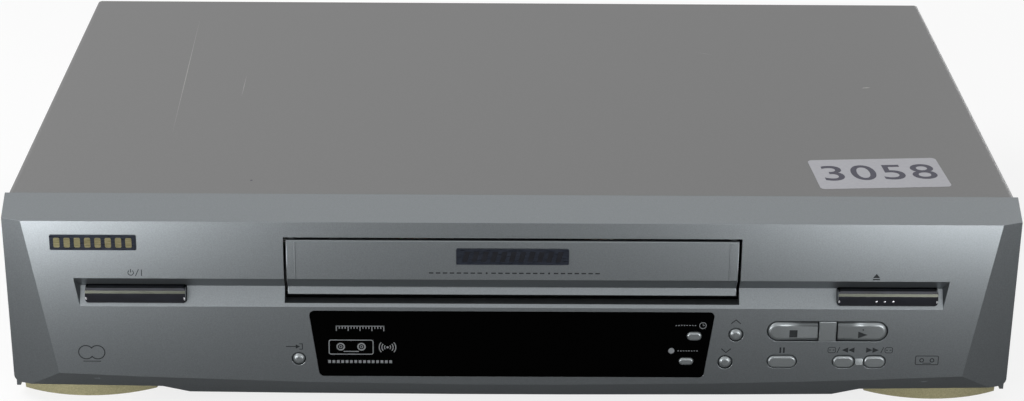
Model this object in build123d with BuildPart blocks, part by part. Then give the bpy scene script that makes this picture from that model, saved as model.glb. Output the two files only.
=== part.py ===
from build123d import *
import os
from math import atan2, cos, degrees, hypot, radians, sin

# A front-loading VHS video cassette recorder, in millimetres. The origin is the point on the
# ground under the middle of the whole object, +Z is up and the front faces -Y. Depths are
# measured back from the front face, heights up from the ground.

os.makedirs("parts", exist_ok=True)

# ---------------------------------------------------------------- driving dimensions
# Casing
width = 430.0                # across the moulded front
height = 88.0                # ground to the top of the cover
body_depth = 288.0           # front face to the back of the cover
connector_reach = 8.0        # sockets stand this far out of the rear panel
button_proud = 0.8           # buttons stand this far out of the front face
bezel_depth = 27.0           # front face to the seam with the cover
cover_step = 1.0             # the moulded front is this much wider than the cover at each side
cover_sheet = 0.8            # steel of the cover
cover_radius = 2.5           # outer bend of the cover
pan_sheet = 0.8              # steel of the bottom pan
panel_sheet = 1.0            # steel of the rear panel
wall = 2.4                   # moulded wall of the front
seat_gap = 0.1               # clearance between parts that seat on each other
key_gap = 0.3                # clearance round a button in its hole
running_fit = 0.05           # radial clearance of a shaft in its hole
overshoot = 1.0              # a cutter runs this far past what it cuts

# Moulded front
face_fall = 1.5              # the upper edge of the face is this much below the cover
side_inset = 3.0             # the front narrows by this much at each side, seam to face
facet_top_inset = 8.0        # side facet: where it meets the face at its upper edge
facet_low_inset = 19.0       # and at the height facet_low_z
facet_low_z = 22.0
facet_back_depth = 3.0       # the facet's outer edge at the top
skirt_bottom = 5.0           # underside of the middle of the front
foot_notch_z = 8.5           # underside of the front over the feet, and of the pan
skirt_inset = 77.4           # the low skirt ends this far in from the side and slopes up
notch_inset = 66.0           # to here
chin_middle_z = 11.6         # lower edge of the face in the middle
chin_rise = 4.8              # the edge rises this much at chin_inset from the side
chin_inset = 22.4
chin_back = 4.0              # the chin leans back this far
chin_drop = 6.6              # over this height
corner_radius = 3.0          # bottom outer corners
corner_slant = 8.0           # degrees, the most that their edges lean from straight back
tongue_reach = 4.0           # lip that goes in under the cover
tongue_wall = 2.0
side_rib_depth = 12.0        # small rib outboard of each front foot
side_rib_length = 8.0
side_rib_height = 4.0
side_rib_wall = 1.7

# Wedge recess across the face
recess_top_z = 60.6
recess_floor_z = 55.5        # the overhanging wall above and the sloping floor meet here
recess_low_z = 47.8          # the floor meets the face here
recess_depth = 4.2
recess_top_inset = 31.5      # its ends, in from the side
recess_low_inset = 33.5
recess_inner_inset = 33.6

# Cassette opening and door
opening_half = 95.6
opening_low_z = 49.2
opening_top_z = 79.6
door_half = 94.5
door_low_z = 52.3
door_top_z = 78.4
door_wall = 1.8
hinge_depth = 4.2
hinge_z = 79.5
hinge_pin_radius = 1.0
hinge_knuckle_radius = 1.5
hinge_arm_slope = 50.0       # degrees round the knuckle where the arm meets it
hinge_arm_width = 2.5
hinge_arm_low_z = 71.0
hinge_arm_inset = 1.0        # the arms stand this far in from the door's ends
ear_gap = 0.8                # opening edge to hinge ear
ear_width = 2.4
ear_depth = 8.0
ear_low_z = 74.0
ear_top_z = 84.5
spring_length = 5.5
spring_wall = 0.5
door_rib_height = 0.3        # fine upright line near each end of the door
door_rib_inset = 3.7

# Display window
window_top_z = 45.9
window_low_z = 15.5
window_top_half = 85.5
window_low_half = 81.4
window_corner = 2.0
window_thickness = 2.0
window_gap = 0.15
window_pad_margin = 1.5
window_pad_wall = 2.4
sight_half = 68.0            # clear view of the display behind the window
sight_low_z = 21.0
sight_top_z = 41.0

# Front keys: middle x, middle height, width, height
bar_key_inset = 57.0         # power and eject keys, in from the sides
bar_key_z = 52.7
bar_key_width = 42.7
bar_key_height = 7.4
bar_key_round = 1.2
link_x = -90.2
link_z = 23.6
link_hole = 6.0
channel_up_x = 94.7
channel_up_z = 35.6
channel_down_x = 90.6
channel_down_z = 22.8
channel_hole = 6.4
timer_x = 77.1
timer_z = 34.9
timer_width = 7.0
timer_height = 4.6
record_x = 74.0
record_z = 23.1
record_width = 6.9
record_height = 4.0
transport_left = 107.8
transport_right = 159.0
transport_z = 37.4
transport_height = 9.3
bridge_left = 129.7
bridge_right = 137.1
bridge_gap = 0.6             # between the bridge and the keys beside it
search_z = 23.2
search_height = 6.2
pause_x = 114.7
pause_width = 12.8
rewind_x = 140.9
forward_x = 154.1
search_width = 9.7
saddle_height = 3.1
saddle_proud = 0.5
key_travel = 0.8
key_flange = 1.0             # thickness of the flange behind a key
key_flange_reach = 0.9       # the flange is this much larger than the key's hole
key_stem_radius = 1.2
key_round = 0.35             # rounded front edge of a small fitting
round_key_crown = 1.9        # the front edge of a round key is rounded by this much
pill_key_crown = 1.0         # and that of a long key
transport_crown = 1.8
bar_key_crown = 7.0          # radius of the convex front of the power and eject keys

# Front board
board_depth = 16.0           # face to the front of the board
board_thickness = 1.6
board_inset = 29.0
board_low_z = 13.0
board_top_z = 45.5
board_ear_top_z = 57.0
board_ear_half = 112.0
board_post_radius = 3.0
board_post_low_z = 16.0
board_post_high_z = 42.0
board_post_inset = 39.0
board_post_high_x = 102.0
switch_size = 6.0
switch_height = 3.5
switch_cap_radius = 1.6
switch_cap_height = 0.5
display_half = 66.0
display_low_z = 19.0
display_top_z = 43.0
display_thickness = 6.0

# Badges
name_badge_inset = 40.5
name_badge_z = 77.0
name_badge_width = 35.7
name_badge_height = 6.8
door_badge_z = 71.4
door_badge_width = 47.0
door_badge_height = 7.2
badge_thickness = 0.5
badge_corner = 0.6

# Feet
foot_inset = 33.0
foot_half = 28.5
foot_round = 56.0            # plan radius of the front of a foot
foot_front_depth = 11.0
foot_back_depth = 46.0
foot_height = 7.2
foot_neck_inset = 3.0
foot_draft = 3.0             # degrees
rear_foot_radius = 14.0
rear_foot_draft = 1.0        # narrower at the ground
rear_foot_inset = 50.0
rear_foot_from_back = 42.0

# Pan, boards and deck
pan_flange = 14.0
standoff_height = 4.0
standoff_radius = 3.5
main_board_thickness = 1.6
board_edge_gap = 6.0         # boards stay this far inside the pan's flanges
deck_top_z = 26.0
deck_sheet = 1.2
deck_half = 103.0
deck_front_depth = 34.0
deck_back_gap = 26.0         # deck to the back of the cover
deck_post_radius = 4.0
deck_post_inset = 8.0
power_board_width = 100.0
transformer_size = 52.0      # laminated core
transformer_core = 26.0
transformer_height = 42.0
coil_width = 31.2            # coil through the core
coil_height = 33.6
capacitor_count = 4
capacitor_radius = 8.0
capacitor_height = 30.0
heat_sink_length = 70.0
heat_sink_height = 45.0
heat_sink_wall = 2.0
heat_sink_fin = 14.0
heat_sink_fins = 6

# Cassette carriage
cassette_half = 93.5
cassette_low_z = 49.8        # underside of a cassette at the slot
cassette_thickness = 25.0
cassette_clearance = 0.4
carriage_front_depth = 33.0
carriage_length = 98.0
carriage_sheet = 1.0
carriage_lip = 12.0
carriage_travel_in = 34.0
carriage_drop = 20.0
carriage_pin_radius = 1.8
carriage_pin_inset = 16.0
slider_sheet = 1.2
slider_gap = 0.3
bracket_sheet = 1.2
bracket_gap = 0.3
slot_extra = 0.2             # a slot is this much longer than the travel at each end

# Tape path, placed from the face and the middle of the deck
drum_x = -4.0
drum_depth = 206.0
drum_radius = 31.0
drum_tilt = 5.8              # degrees, leaning to the rear
lower_drum_height = 17.0
upper_drum_height = 13.0
drum_slit = 0.3
drum_base_radius = 20.0
drum_foot_sink = 1.0         # the drum's round foot runs up into its leaning underside
drum_pivot_z = 31.0          # centre of the underside of the lower drum
drum_shaft_radius = 3.0
rotor_radius = 19.0
rotor_height = 6.0
reel_x = 46.0
reel_depth = 114.0
reel_radius = 20.0
reel_table_height = 2.6
reel_hub_radius = 8.0
reel_hub_height = 13.0
reel_fins = 3
reel_pin_radius = 1.5
capstan_x = 62.0
capstan_depth = 190.0
capstan_shaft_radius = 2.0
capstan_top_z = 54.0
bearing_radius = 5.5
bearing_height = 8.0
flywheel_radius = 24.0
flywheel_height = 5.0
flywheel_low_z = 16.0
clutch_depth = 92.0
clutch_radius = 12.0
clutch_gear_radius = 8.0
clutch_gear_height = 2.4
belt_thickness = 1.0
belt_width = 3.0
belt_gap = 0.3
pulley_radius = 9.0          # belt groove on the capstan's flywheel
roller_radius = 6.5
roller_height = 15.0
roller_pin_radius = 1.5
pinch_pivot_x = 84.0
pinch_pivot_depth = 176.0
pinch_closed_dx = 7.0        # roller centre from the capstan when it grips the tape
pinch_closed_dy = 5.3
pinch_swing = 25.0           # degrees
arm_sheet = 2.0
arm_half = 4.0
arm_tip_half = 2.5           # half width at the roller or post
arm_pivot_radius = 2.0
guide_rest_x = 30.0
guide_rest_depth = 158.0
guide_end_x = 43.0
guide_end_depth = 197.0
guide_base = 9.0
guide_base_height = 3.5
guide_roller_radius = 3.0
guide_height = 24.0
guide_cap_radius = 4.0
guide_cap_height = 1.0
guide_pin_radius = 1.4
tension_pivot_x = -70.0
tension_pivot_depth = 176.0
tension_length = 22.0
tension_angle = -55.0        # direction of the arm at rest, degrees from +X
tension_swing = 22.0
tension_post_height = 22.0
erase_head_x = -62.0
erase_head_depth = 190.0
audio_head_x = 55.0
audio_head_depth = 172.0
head_width = 9.0
head_length = 7.0
head_height = 20.0
cam_x = 72.0
cam_depth = 232.0
cam_radius = 18.0
cam_height = 5.0
cam_teeth = 24
cam_tooth = 1.6
loading_motor_x = -56.0
loading_motor_from_back = 12.0   # middle of the motor to the back edge of the deck
loading_motor_radius = 8.0
loading_motor_length = 26.0

# Rear panel
scart_x = (20.0, 82.0)
scart_z = 58.0
scart_width = 54.0
scart_height = 18.0
scart_cavity_width = 47.0
scart_cavity_height = 13.0
scart_cavity_depth = 12.0
scart_depth = 22.0
scart_reach = 5.0
jack_x = 24.0
jack_pitch = 18.0
jack_z = 30.0
jack_barrel_radius = 4.15
jack_bore_radius = 1.7
jack_reach = 8.0
socket_collar = 0.6          # shoulder of a round socket where it passes the rear panel
jack_block = 14.0
tuner_inset = 50.0
tuner_width = 62.0
tuner_length = 72.0
tuner_low_z = 17.0
tuner_top_z = 67.0
tuner_sheet = 1.0            # walls of the can, open to the board
tuner_end_wall = 10.0        # block at the aerial sockets
aerial_low_z = 33.0          # lower aerial socket
aerial_pitch = 27.0
aerial_radius = 4.75
aerial_bore_radius = 1.3
aerial_reach = 8.0
inlet_inset = 30.0
inlet_z = 31.0
inlet_width = 26.0
inlet_height = 17.0
inlet_cavity_width = 17.6
inlet_cavity_height = 9.2
inlet_cavity_depth = 13.0
inlet_pin_radius = 1.2
inlet_pin_pitch = 8.6
inlet_reach = 2.0
inlet_depth = 22.0
vent_width = 3.0
vent_height = 26.0
vent_pitch = 7.0
vent_count = 12
vent_x = -120.0
vent_z = 52.0

# Cover screws
screw_radius = 1.5
screw_head_radius = 3.4
screw_head_height = 1.0
screw_length = 7.0
side_screw_z = 17.0
side_screw_depths = (70.0, 240.0)
rear_screw_inset = 20.0
rear_lip = 12.0

# ---------------------------------------------------------------- places worked out from them
half_width = width / 2
front_y = -(button_proud + body_depth + connector_reach) / 2 + button_proud
rear_y = front_y + body_depth
seam_y = front_y + bezel_depth
face_top = height - face_fall
side_front_x = half_width - side_inset
facet_top_x = side_front_x - facet_top_inset
facet_low_x = side_front_x - facet_low_inset
facet_back_x = side_front_x + side_inset * facet_back_depth / bezel_depth
skirt_half = half_width - skirt_inset
notch_half = half_width - notch_inset
chin_half = half_width - chin_inset
recess_top_half = half_width - recess_top_inset
recess_low_half = half_width - recess_low_inset
recess_inner_half = half_width - recess_inner_inset
power_x = bar_key_inset - half_width
eject_x = half_width - bar_key_inset
board_half = half_width - board_inset
name_badge_x = name_badge_inset - half_width
foot_x = half_width - foot_inset
rear_foot_x = half_width - rear_foot_inset
tuner_x = half_width - tuner_inset
inlet_x = inlet_inset - half_width
rear_screw_x = half_width - rear_screw_inset
deck_back_depth = body_depth - deck_back_gap
loading_motor_depth = deck_back_depth - loading_motor_from_back
cover_half = half_width - cover_step
cover_inner_half = cover_half - cover_sheet
cover_under_z = height - cover_sheet
pan_half = cover_inner_half - seat_gap
pan_low_z = foot_notch_z
pan_top_z = pan_low_z + pan_sheet
panel_y = rear_y - cover_sheet - seat_gap - panel_sheet     # front of the rear panel
main_board_z = pan_top_z + standoff_height
main_board_top_z = main_board_z + main_board_thickness
deck_under_z = deck_top_z - deck_sheet


def y_at(depth):
    """Row position of a depth behind the front face."""
    return front_y + depth


def behind(depth):
    """Plane parallel to the face at this depth, looked at from the front."""
    return Plane(origin=(0, y_at(depth), 0), x_dir=(1, 0, 0), z_dir=(0, -1, 0))


def span(x, y, z, mode=Mode.ADD):
    """A box between the low and high values given for each direction."""
    with Locations(((x[0] + x[1]) / 2, (y[0] + y[1]) / 2, (z[0] + z[1]) / 2)):
        Box(x[1] - x[0], y[1] - y[0], z[1] - z[0], mode=mode)


def rod(base, direction, radius, length, mode=Mode.ADD):
    """A cylinder that starts at base and runs along direction."""
    with Locations(Plane(origin=base, z_dir=direction)):
        Cylinder(radius, length, align=(Align.CENTER, Align.CENTER, Align.MIN), mode=mode)


def finish(piece, label):
    """Label a finished sub-part and write it."""
    piece.label = label
    export_step(piece, f"parts/{label}.step")


def outline_yz(points):
    """A closed profile across the recorder, as a face in the YZ plane."""
    with BuildSketch(Plane.YZ) as sketch:
        with BuildLine():
            Polyline(*points, close=True)
        make_face()
    return sketch.sketch


def outline_face(points, corner=0.0):
    """A closed outline seen from the front, as a face in the plane of the front face."""
    with BuildSketch(behind(0)) as sketch:
        with BuildLine():
            Polyline(*points, close=True)
        make_face()
        if corner > 0:
            fillet(sketch.vertices(), corner)
    return sketch.sketch


# ---------------------------------------------------------------- front keys
# Each key: middle x, middle height, width and height of its hole, and the depth of the wall
# that the hole goes through.
pad_depth = window_thickness + seat_gap + window_pad_wall
trough_depth = recess_depth + wall
transport_low_width = bridge_left - bridge_gap - transport_left
transport_high_width = transport_right - bridge_right - bridge_gap
round_keys = {
    "ext_link_button": (link_x, link_z, link_hole, link_hole, wall),
    "channel_up_button": (channel_up_x, channel_up_z, channel_hole, channel_hole, wall),
    "channel_down_button": (channel_down_x, channel_down_z, channel_hole, channel_hole, wall),
    "timer_button": (timer_x, timer_z, timer_width, timer_height, pad_depth),
    "record_button": (record_x, record_z, record_width, record_height, pad_depth),
    "pause_button": (pause_x, search_z, pause_width, search_height, wall),
    "rewind_button": (rewind_x, search_z, search_width, search_height, wall),
    "fast_forward_button": (forward_x, search_z, search_width, search_height, wall),
}
bar_keys = {
    "power_button": (power_x, bar_key_z),
    "eject_button": (eject_x, bar_key_z),
}
transport_keys = {
    "stop_button": (transport_left, bridge_left - bridge_gap),
    "play_button": (bridge_right + bridge_gap, transport_right),
}
transport_middle = (transport_left + transport_right) / 2
transport_width = transport_right - transport_left
switch_places = [(x, z) for x, z, _, _, _ in round_keys.values()]
switch_places += list(bar_keys.values())
switch_places += [((low + high) / 2, transport_z) for low, high in transport_keys.values()]
switch_top_depth = board_depth - switch_height - switch_cap_height
stem_end_depth = switch_top_depth - key_travel - seat_gap


def pill(x, z, long, short, grow=0.0):
    """A round-ended hole or key outline seen from the front."""
    with BuildSketch(behind(0)) as sketch:
        with Locations((x, z)):
            if long - short < 0.01:
                Circle(long / 2 + grow)
            else:
                SlotOverall(long + 2 * grow, short + 2 * grow)
    return sketch.sketch


def push_back(sketch, start, end, mode=Mode.ADD):
    """Extrude an outline of the face plane between two depths."""
    extrude(sketch.moved(Location((0, start, 0))), amount=-(end - start), mode=mode)


for name, (x, z, long, short, through) in round_keys.items():
    with BuildPart() as key:
        push_back(pill(x, z, long, short, -key_gap), -button_proud, through + seat_gap)
        crown = round_key_crown if long == short else pill_key_crown
        fillet(key.faces().sort_by(Axis.Y)[0].edges(), crown)
        push_back(pill(x, z, long, short, key_flange_reach), through + seat_gap,
                  through + seat_gap + key_flange)
        rod((x, y_at(through + seat_gap), z), (0, 1, 0), key_stem_radius,
            stem_end_depth - through - seat_gap)
    finish(key.part, name)

for name, (x, z) in bar_keys.items():
    with BuildPart() as key:
        with BuildSketch(behind(-button_proud)):
            with Locations((x, z)):
                RectangleRounded(bar_key_width - 2 * key_gap, bar_key_height - 2 * key_gap, bar_key_round)
        extrude(amount=-(trough_depth + seat_gap + button_proud))
        rod((x - bar_key_width, y_at(bar_key_crown - button_proud), z), (1, 0, 0), bar_key_crown,
            2 * bar_key_width, mode=Mode.INTERSECT)
        fillet(key.faces().sort_by(Axis.Y)[0].edges(), key_round)
        span((x - bar_key_width / 2 - key_flange_reach, x + bar_key_width / 2 + key_flange_reach),
             (y_at(trough_depth + seat_gap), y_at(trough_depth + seat_gap + key_flange)),
             (z - bar_key_height / 2 - key_flange_reach, z + bar_key_height / 2 - key_flange_reach))
        rod((x, y_at(trough_depth), z), (0, 1, 0), key_stem_radius, stem_end_depth - trough_depth)
    finish(key.part, name)

for name, (low, high) in transport_keys.items():
    with BuildPart() as key:
        push_back(pill(transport_middle, transport_z, transport_width, transport_height, -key_gap),
                  -button_proud, wall + seat_gap)
        fillet(key.faces().sort_by(Axis.Y)[0].edges(), transport_crown)
        span((low, high), (y_at(-2 * button_proud), y_at(2 * wall)),
             (transport_z - transport_height, transport_z + transport_height), mode=Mode.INTERSECT)
        middle = (low + high) / 2
        span((low + key_flange_reach, high - key_flange_reach),
             (y_at(wall + seat_gap), y_at(wall + seat_gap + key_flange)),
             (transport_z - transport_height / 2 - key_flange_reach,
              transport_z + transport_height / 2 + key_flange_reach))
        rod((middle, y_at(wall), transport_z), (0, 1, 0), key_stem_radius, stem_end_depth - wall)
    finish(key.part, name)

with BuildPart() as transport_bridge:
    span((bridge_left, bridge_right), (y_at(-button_proud / 2), y_at(wall + seat_gap)),
         (transport_z - transport_height / 2 + seat_gap, transport_z + transport_height / 2 - seat_gap))
    fillet(transport_bridge.faces().sort_by(Axis.Y)[0].edges(), key_round)
    span((bridge_left, bridge_right), (y_at(wall), y_at(wall + key_flange)),
         (transport_z - transport_height / 2 - key_flange_reach,
          transport_z + transport_height / 2 + key_flange_reach))
finish(transport_bridge.part, "transport_bridge")

saddle_low = rewind_x + search_width / 2
saddle_high = forward_x - search_width / 2
with BuildPart() as search_saddle:
    span((saddle_low, saddle_high), (y_at(-saddle_proud), y_at(0)),
         (search_z - saddle_height / 2, search_z + saddle_height / 2))
    fillet(search_saddle.faces().sort_by(Axis.Y)[0].edges(), key_round)
finish(search_saddle.part, "search_saddle")

# ---------------------------------------------------------------- moulded front
chin_radius = (chin_half ** 2 + chin_rise ** 2) / (2 * chin_rise)
chin_centre_z = chin_middle_z + chin_radius
with BuildPart() as front_shell:
    with BuildSketch(Plane.XY.offset(skirt_bottom)):
        with BuildLine():
            Polyline((-half_width, seam_y), (-side_front_x, front_y), (side_front_x, front_y),
                     (half_width, seam_y), close=True)
        make_face()
    extrude(amount=height - skirt_bottom)
    top_fall = (height - face_top) / bezel_depth
    extrude(outline_yz([(y_at(-wall), face_top - wall * top_fall), (seam_y, height),
                        (seam_y, height + wall), (y_at(-wall), height + wall)]),
            amount=width, both=True, mode=Mode.SUBTRACT)
    for side in (-1, 1):
        corner = Vector(side * facet_top_x, front_y, face_top)
        low = Vector(side * facet_low_x, front_y, facet_low_z)
        back = Vector(side * facet_back_x, y_at(facet_back_depth), face_top)
        outward = (low - corner).cross(back - corner).normalized()
        if outward.Y > 0:
            outward = -outward
        with BuildSketch(Plane(origin=corner, z_dir=outward)):
            Rectangle(2 * height, 4 * height)
        extrude(amount=height, mode=Mode.SUBTRACT)
        with BuildSketch(behind(0)):
            with BuildLine():
                Polyline((side * skirt_half, skirt_bottom), (side * notch_half, foot_notch_z),
                         (side * width, foot_notch_z), (side * width, 0), (side * skirt_half, 0),
                         close=True)
            make_face()
        extrude(amount=bezel_depth * 2, both=True, mode=Mode.SUBTRACT)
    chin_low = chin_radius + bezel_depth * chin_drop / chin_back
    revolve(outline_yz([(front_y, chin_centre_z), (front_y, chin_centre_z - chin_radius),
                        (seam_y, chin_centre_z - chin_low), (seam_y, chin_centre_z)]),
            axis=Axis((0, 0, chin_centre_z), (0, 1, 0)), mode=Mode.INTERSECT)

cavity_floor_z = foot_notch_z + wall
cavity_front_z = chin_middle_z + chin_rise + seat_gap
cavity_top_z = face_top - wall
with BuildPart() as front_cavity:
    extrude(outline_yz([(y_at(wall), cavity_front_z), (y_at(wall), cavity_top_z),
                        (seam_y + wall, cavity_top_z), (seam_y + wall, cavity_floor_z),
                        (y_at(chin_back + 2 * wall), cavity_floor_z)]),
            amount=half_width, both=True)
    with BuildSketch():
        with BuildLine():
            Polyline((-half_width + wall, seam_y + wall), (-half_width + wall, y_at(5 * wall)),
                     (-facet_low_x + 2 * wall, y_at(wall)), (facet_low_x - 2 * wall, y_at(wall)),
                     (half_width - wall, y_at(5 * wall)), (half_width - wall, seam_y + wall),
                     close=True)
        make_face()
    extrude(amount=height, mode=Mode.INTERSECT)

ear_low_x = opening_half + ear_gap
ear_high_x = ear_low_x + ear_width
window_outline = [(-window_top_half, window_top_z), (window_top_half, window_top_z),
                  (window_low_half, window_low_z), (-window_low_half, window_low_z)]
with BuildPart() as recess_cutter:
    extrude(outline_yz([(y_at(-wall), recess_top_z), (front_y, recess_top_z),
                        (y_at(recess_depth), recess_floor_z), (front_y, recess_low_z),
                        (y_at(-wall), recess_low_z)]),
            amount=recess_top_half, both=True)
    for side in (-1, 1):
        outer = Vector(side * recess_top_half, front_y, recess_top_z)
        lower = Vector(side * recess_low_half, front_y, recess_low_z)
        inner = Vector(side * recess_inner_half, y_at(recess_depth), recess_floor_z)
        away = (lower - outer).cross(inner - outer).normalized()
        if away.X * side < 0:
            away = -away
        with BuildSketch(Plane(origin=outer, z_dir=away)):
            Rectangle(height, height)
        extrude(amount=height / 2, mode=Mode.SUBTRACT)

with BuildPart() as front_panel:
    add(front_shell.part)
    side_edges = front_panel.edges().filter_by(lambda edge: abs(edge.center().X) > chin_half)
    fillet(side_edges.filter_by(Axis.Y, tolerance=corner_slant).group_by(Axis.Z)[0], corner_radius)
    add(front_cavity.part, mode=Mode.SUBTRACT)
    # lip that goes in under the cover and over the pan
    tongue_half = cover_inner_half - seat_gap
    tongue_top = cover_under_z - seat_gap
    tongue_low = pan_top_z + seat_gap
    span((-tongue_half, tongue_half), (seam_y - tongue_reach, seam_y + tongue_reach),
         (tongue_top - tongue_wall, tongue_top))
    span((-tongue_half, tongue_half), (seam_y - tongue_reach, seam_y + tongue_reach),
         (tongue_low, tongue_low + tongue_wall))
    for side in (-1, 1):
        near = side * tongue_half
        far = side * (tongue_half - tongue_wall)
        span((min(near, far), max(near, far)), (seam_y - tongue_reach, seam_y + tongue_reach),
             (tongue_low, tongue_top))
        # ear that holds the door's hinge pin
        low, high = sorted((side * ear_low_x, side * ear_high_x))
        span((low, high), (y_at(wall / 2), y_at(ear_depth)), (ear_low_z, ear_top_z))
        # rib outboard of the foot
        rib_x = side * side_front_x
        span((rib_x - side_rib_wall / 2, rib_x + side_rib_wall / 2),
             (y_at(side_rib_depth), y_at(side_rib_depth + side_rib_length)),
             (foot_notch_z - side_rib_height, foot_notch_z + wall))
        # posts for the front board
        for post_x, post_z in ((half_width - board_post_inset, board_post_low_z),
                               (board_post_high_x, board_post_high_z)):
            rod((side * post_x, y_at(wall / 2), post_z), (0, 1, 0), board_post_radius,
                board_depth - wall / 2)
    # backing of the wedge recess and of the window
    span((-recess_top_half - wall, recess_top_half + wall), (y_at(wall / 2), y_at(trough_depth)),
         (recess_low_z - wall / 2, recess_top_z + wall))
    with BuildSketch(behind(wall / 2)):
        add(outline_face(window_outline).moved(Location((0, wall / 2, 0))))
        offset(amount=window_gap + window_pad_margin, kind=Kind.INTERSECTION)
    extrude(amount=-(pad_depth - wall / 2))
    add(recess_cutter.part, mode=Mode.SUBTRACT)
    # cassette opening, window and key holes
    span((-opening_half, opening_half), (y_at(-wall), y_at(ear_depth)), (opening_low_z, opening_top_z),
         mode=Mode.SUBTRACT)
    with BuildSketch(behind(0)):
        add(outline_face(window_outline, window_corner))
        offset(amount=window_gap, kind=Kind.INTERSECTION)
    extrude(amount=-(window_thickness + seat_gap), mode=Mode.SUBTRACT)
    span((-sight_half, sight_half), (y_at(0), y_at(2 * pad_depth)), (sight_low_z, sight_top_z),
         mode=Mode.SUBTRACT)
    for x, z, long, short, through in round_keys.values():
        push_back(pill(x, z, long, short), -wall, through + wall, mode=Mode.SUBTRACT)
    for x, z in bar_keys.values():
        with BuildSketch(behind(-wall)):
            with Locations((x, z)):
                RectangleRounded(bar_key_width, bar_key_height, bar_key_round + key_gap)
        extrude(amount=-(trough_depth + 2 * wall), mode=Mode.SUBTRACT)
    push_back(pill(transport_middle, transport_z, transport_width, transport_height),
              -wall, 2 * wall, mode=Mode.SUBTRACT)
    for side in (-1, 1):
        rod((side * ear_low_x - side * ear_gap, y_at(hinge_depth), hinge_z), (side, 0, 0),
            hinge_pin_radius + running_fit, ear_gap + 2 * ear_width, mode=Mode.SUBTRACT)
finish(front_panel.part, "front_panel")

with BuildPart() as display_window:
    push_back(outline_face(window_outline, window_corner), 0, window_thickness)
    for x, z, long, short in ((timer_x, timer_z, timer_width, timer_height),
                              (record_x, record_z, record_width, record_height)):
        push_back(pill(x, z, long, short), -wall, 2 * wall, mode=Mode.SUBTRACT)
finish(display_window.part, "display_window")

# ---------------------------------------------------------------- cassette door
slope = recess_depth / (recess_floor_z - recess_low_z)
door_ledge_depth = (door_low_z - recess_low_z) * slope
with BuildPart() as cassette_door:
    extrude(outline_yz([
        (front_y, door_top_z), (front_y, recess_top_z), (y_at(recess_depth), recess_floor_z),
        (y_at(door_ledge_depth), door_low_z), (y_at(door_ledge_depth + door_wall), door_low_z),
        (y_at(recess_depth + door_wall), recess_floor_z), (y_at(door_wall), recess_top_z),
        (y_at(door_wall), door_top_z)]),
        amount=door_half, both=True)
    for side in (-1, 1):
        outer_x = side * (door_half - hinge_arm_inset)
        inner_x = outer_x - side * hinge_arm_width
        arm = outline_yz([
            (y_at(door_wall / 2), hinge_arm_low_z), (y_at(door_wall / 2), door_top_z - door_wall),
            (y_at(door_wall), door_top_z - seat_gap),
            (y_at(hinge_depth) - hinge_knuckle_radius * cos(radians(hinge_arm_slope)),
             hinge_z + hinge_knuckle_radius * sin(radians(hinge_arm_slope)) - seat_gap),
            (y_at(hinge_depth), hinge_z), (y_at(hinge_depth) + hinge_knuckle_radius, hinge_z),
            (y_at(hinge_depth) + hinge_knuckle_radius, hinge_arm_low_z + door_wall)])
        extrude(arm.moved(Location((inner_x, 0, 0))), amount=side * hinge_arm_width)
        rod((inner_x, y_at(hinge_depth), hinge_z), (side, 0, 0), hinge_knuckle_radius, hinge_arm_width)
        pin_end = ear_high_x if side > 0 else ear_high_x + seat_gap + spring_length
        rod((inner_x, y_at(hinge_depth), hinge_z), (side, 0, 0), hinge_pin_radius,
            pin_end - abs(inner_x))
        # fine upright line near each end
        line_x = side * (door_half - door_rib_inset)
        span((line_x - door_rib_height, line_x + door_rib_height),
             (y_at(-door_rib_height), y_at(door_wall / 2)),
             (recess_top_z, door_top_z - door_wall / 2))
finish(cassette_door.part, "cassette_door")

spring_inner = hinge_pin_radius + 4 * running_fit
with BuildPart() as door_spring:
    rod((-ear_high_x - seat_gap, y_at(hinge_depth), hinge_z), (-1, 0, 0), spring_inner + spring_wall,
        spring_length)
    span((-ear_high_x - seat_gap - 2 * spring_wall, -ear_high_x - seat_gap),
         (y_at(wall + seat_gap), y_at(hinge_depth)),
         (hinge_z - spring_inner - spring_wall, hinge_z - spring_inner))
    span((-ear_high_x - seat_gap - 2 * spring_wall, -ear_high_x - seat_gap),
         (y_at(wall + seat_gap), y_at(wall + seat_gap + 2 * spring_wall)), (ear_low_z, hinge_z))
    rod((-ear_high_x, y_at(hinge_depth), hinge_z), (-1, 0, 0), spring_inner,
        2 * spring_length, mode=Mode.SUBTRACT)
finish(door_spring.part, "door_spring")

# ---------------------------------------------------------------- badges
with BuildPart() as name_badge:
    with BuildSketch(behind(-badge_thickness)):
        with Locations((name_badge_x, name_badge_z)):
            RectangleRounded(name_badge_width, name_badge_height, badge_corner)
    extrude(amount=-badge_thickness)
finish(name_badge.part, "name_badge")

with BuildPart() as door_badge:
    with BuildSketch(behind(-badge_thickness)):
        with Locations((0, door_badge_z)):
            RectangleRounded(door_badge_width, door_badge_height, badge_corner)
    extrude(amount=-badge_thickness)
finish(door_badge.part, "door_badge")

# ---------------------------------------------------------------- front board
with BuildPart() as front_board:
    span((-board_half, board_half), (y_at(board_depth), y_at(board_depth + board_thickness)),
         (board_low_z, board_top_z))
    for side in (-1, 1):
        low, high = sorted((side * board_ear_half, side * board_half))
        span((low, high), (y_at(board_depth), y_at(board_depth + board_thickness)),
             (board_low_z, board_ear_top_z))
finish(front_board.part, "front_board")

with BuildPart() as tact_switches:
    for x, z in switch_places:
        span((x - switch_size / 2, x + switch_size / 2),
             (y_at(board_depth - switch_height), y_at(board_depth)),
             (z - switch_size / 2, z + switch_size / 2))
        rod((x, y_at(switch_top_depth), z), (0, 1, 0), switch_cap_radius, switch_cap_height)
finish(tact_switches.part, "tact_switches")

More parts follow.
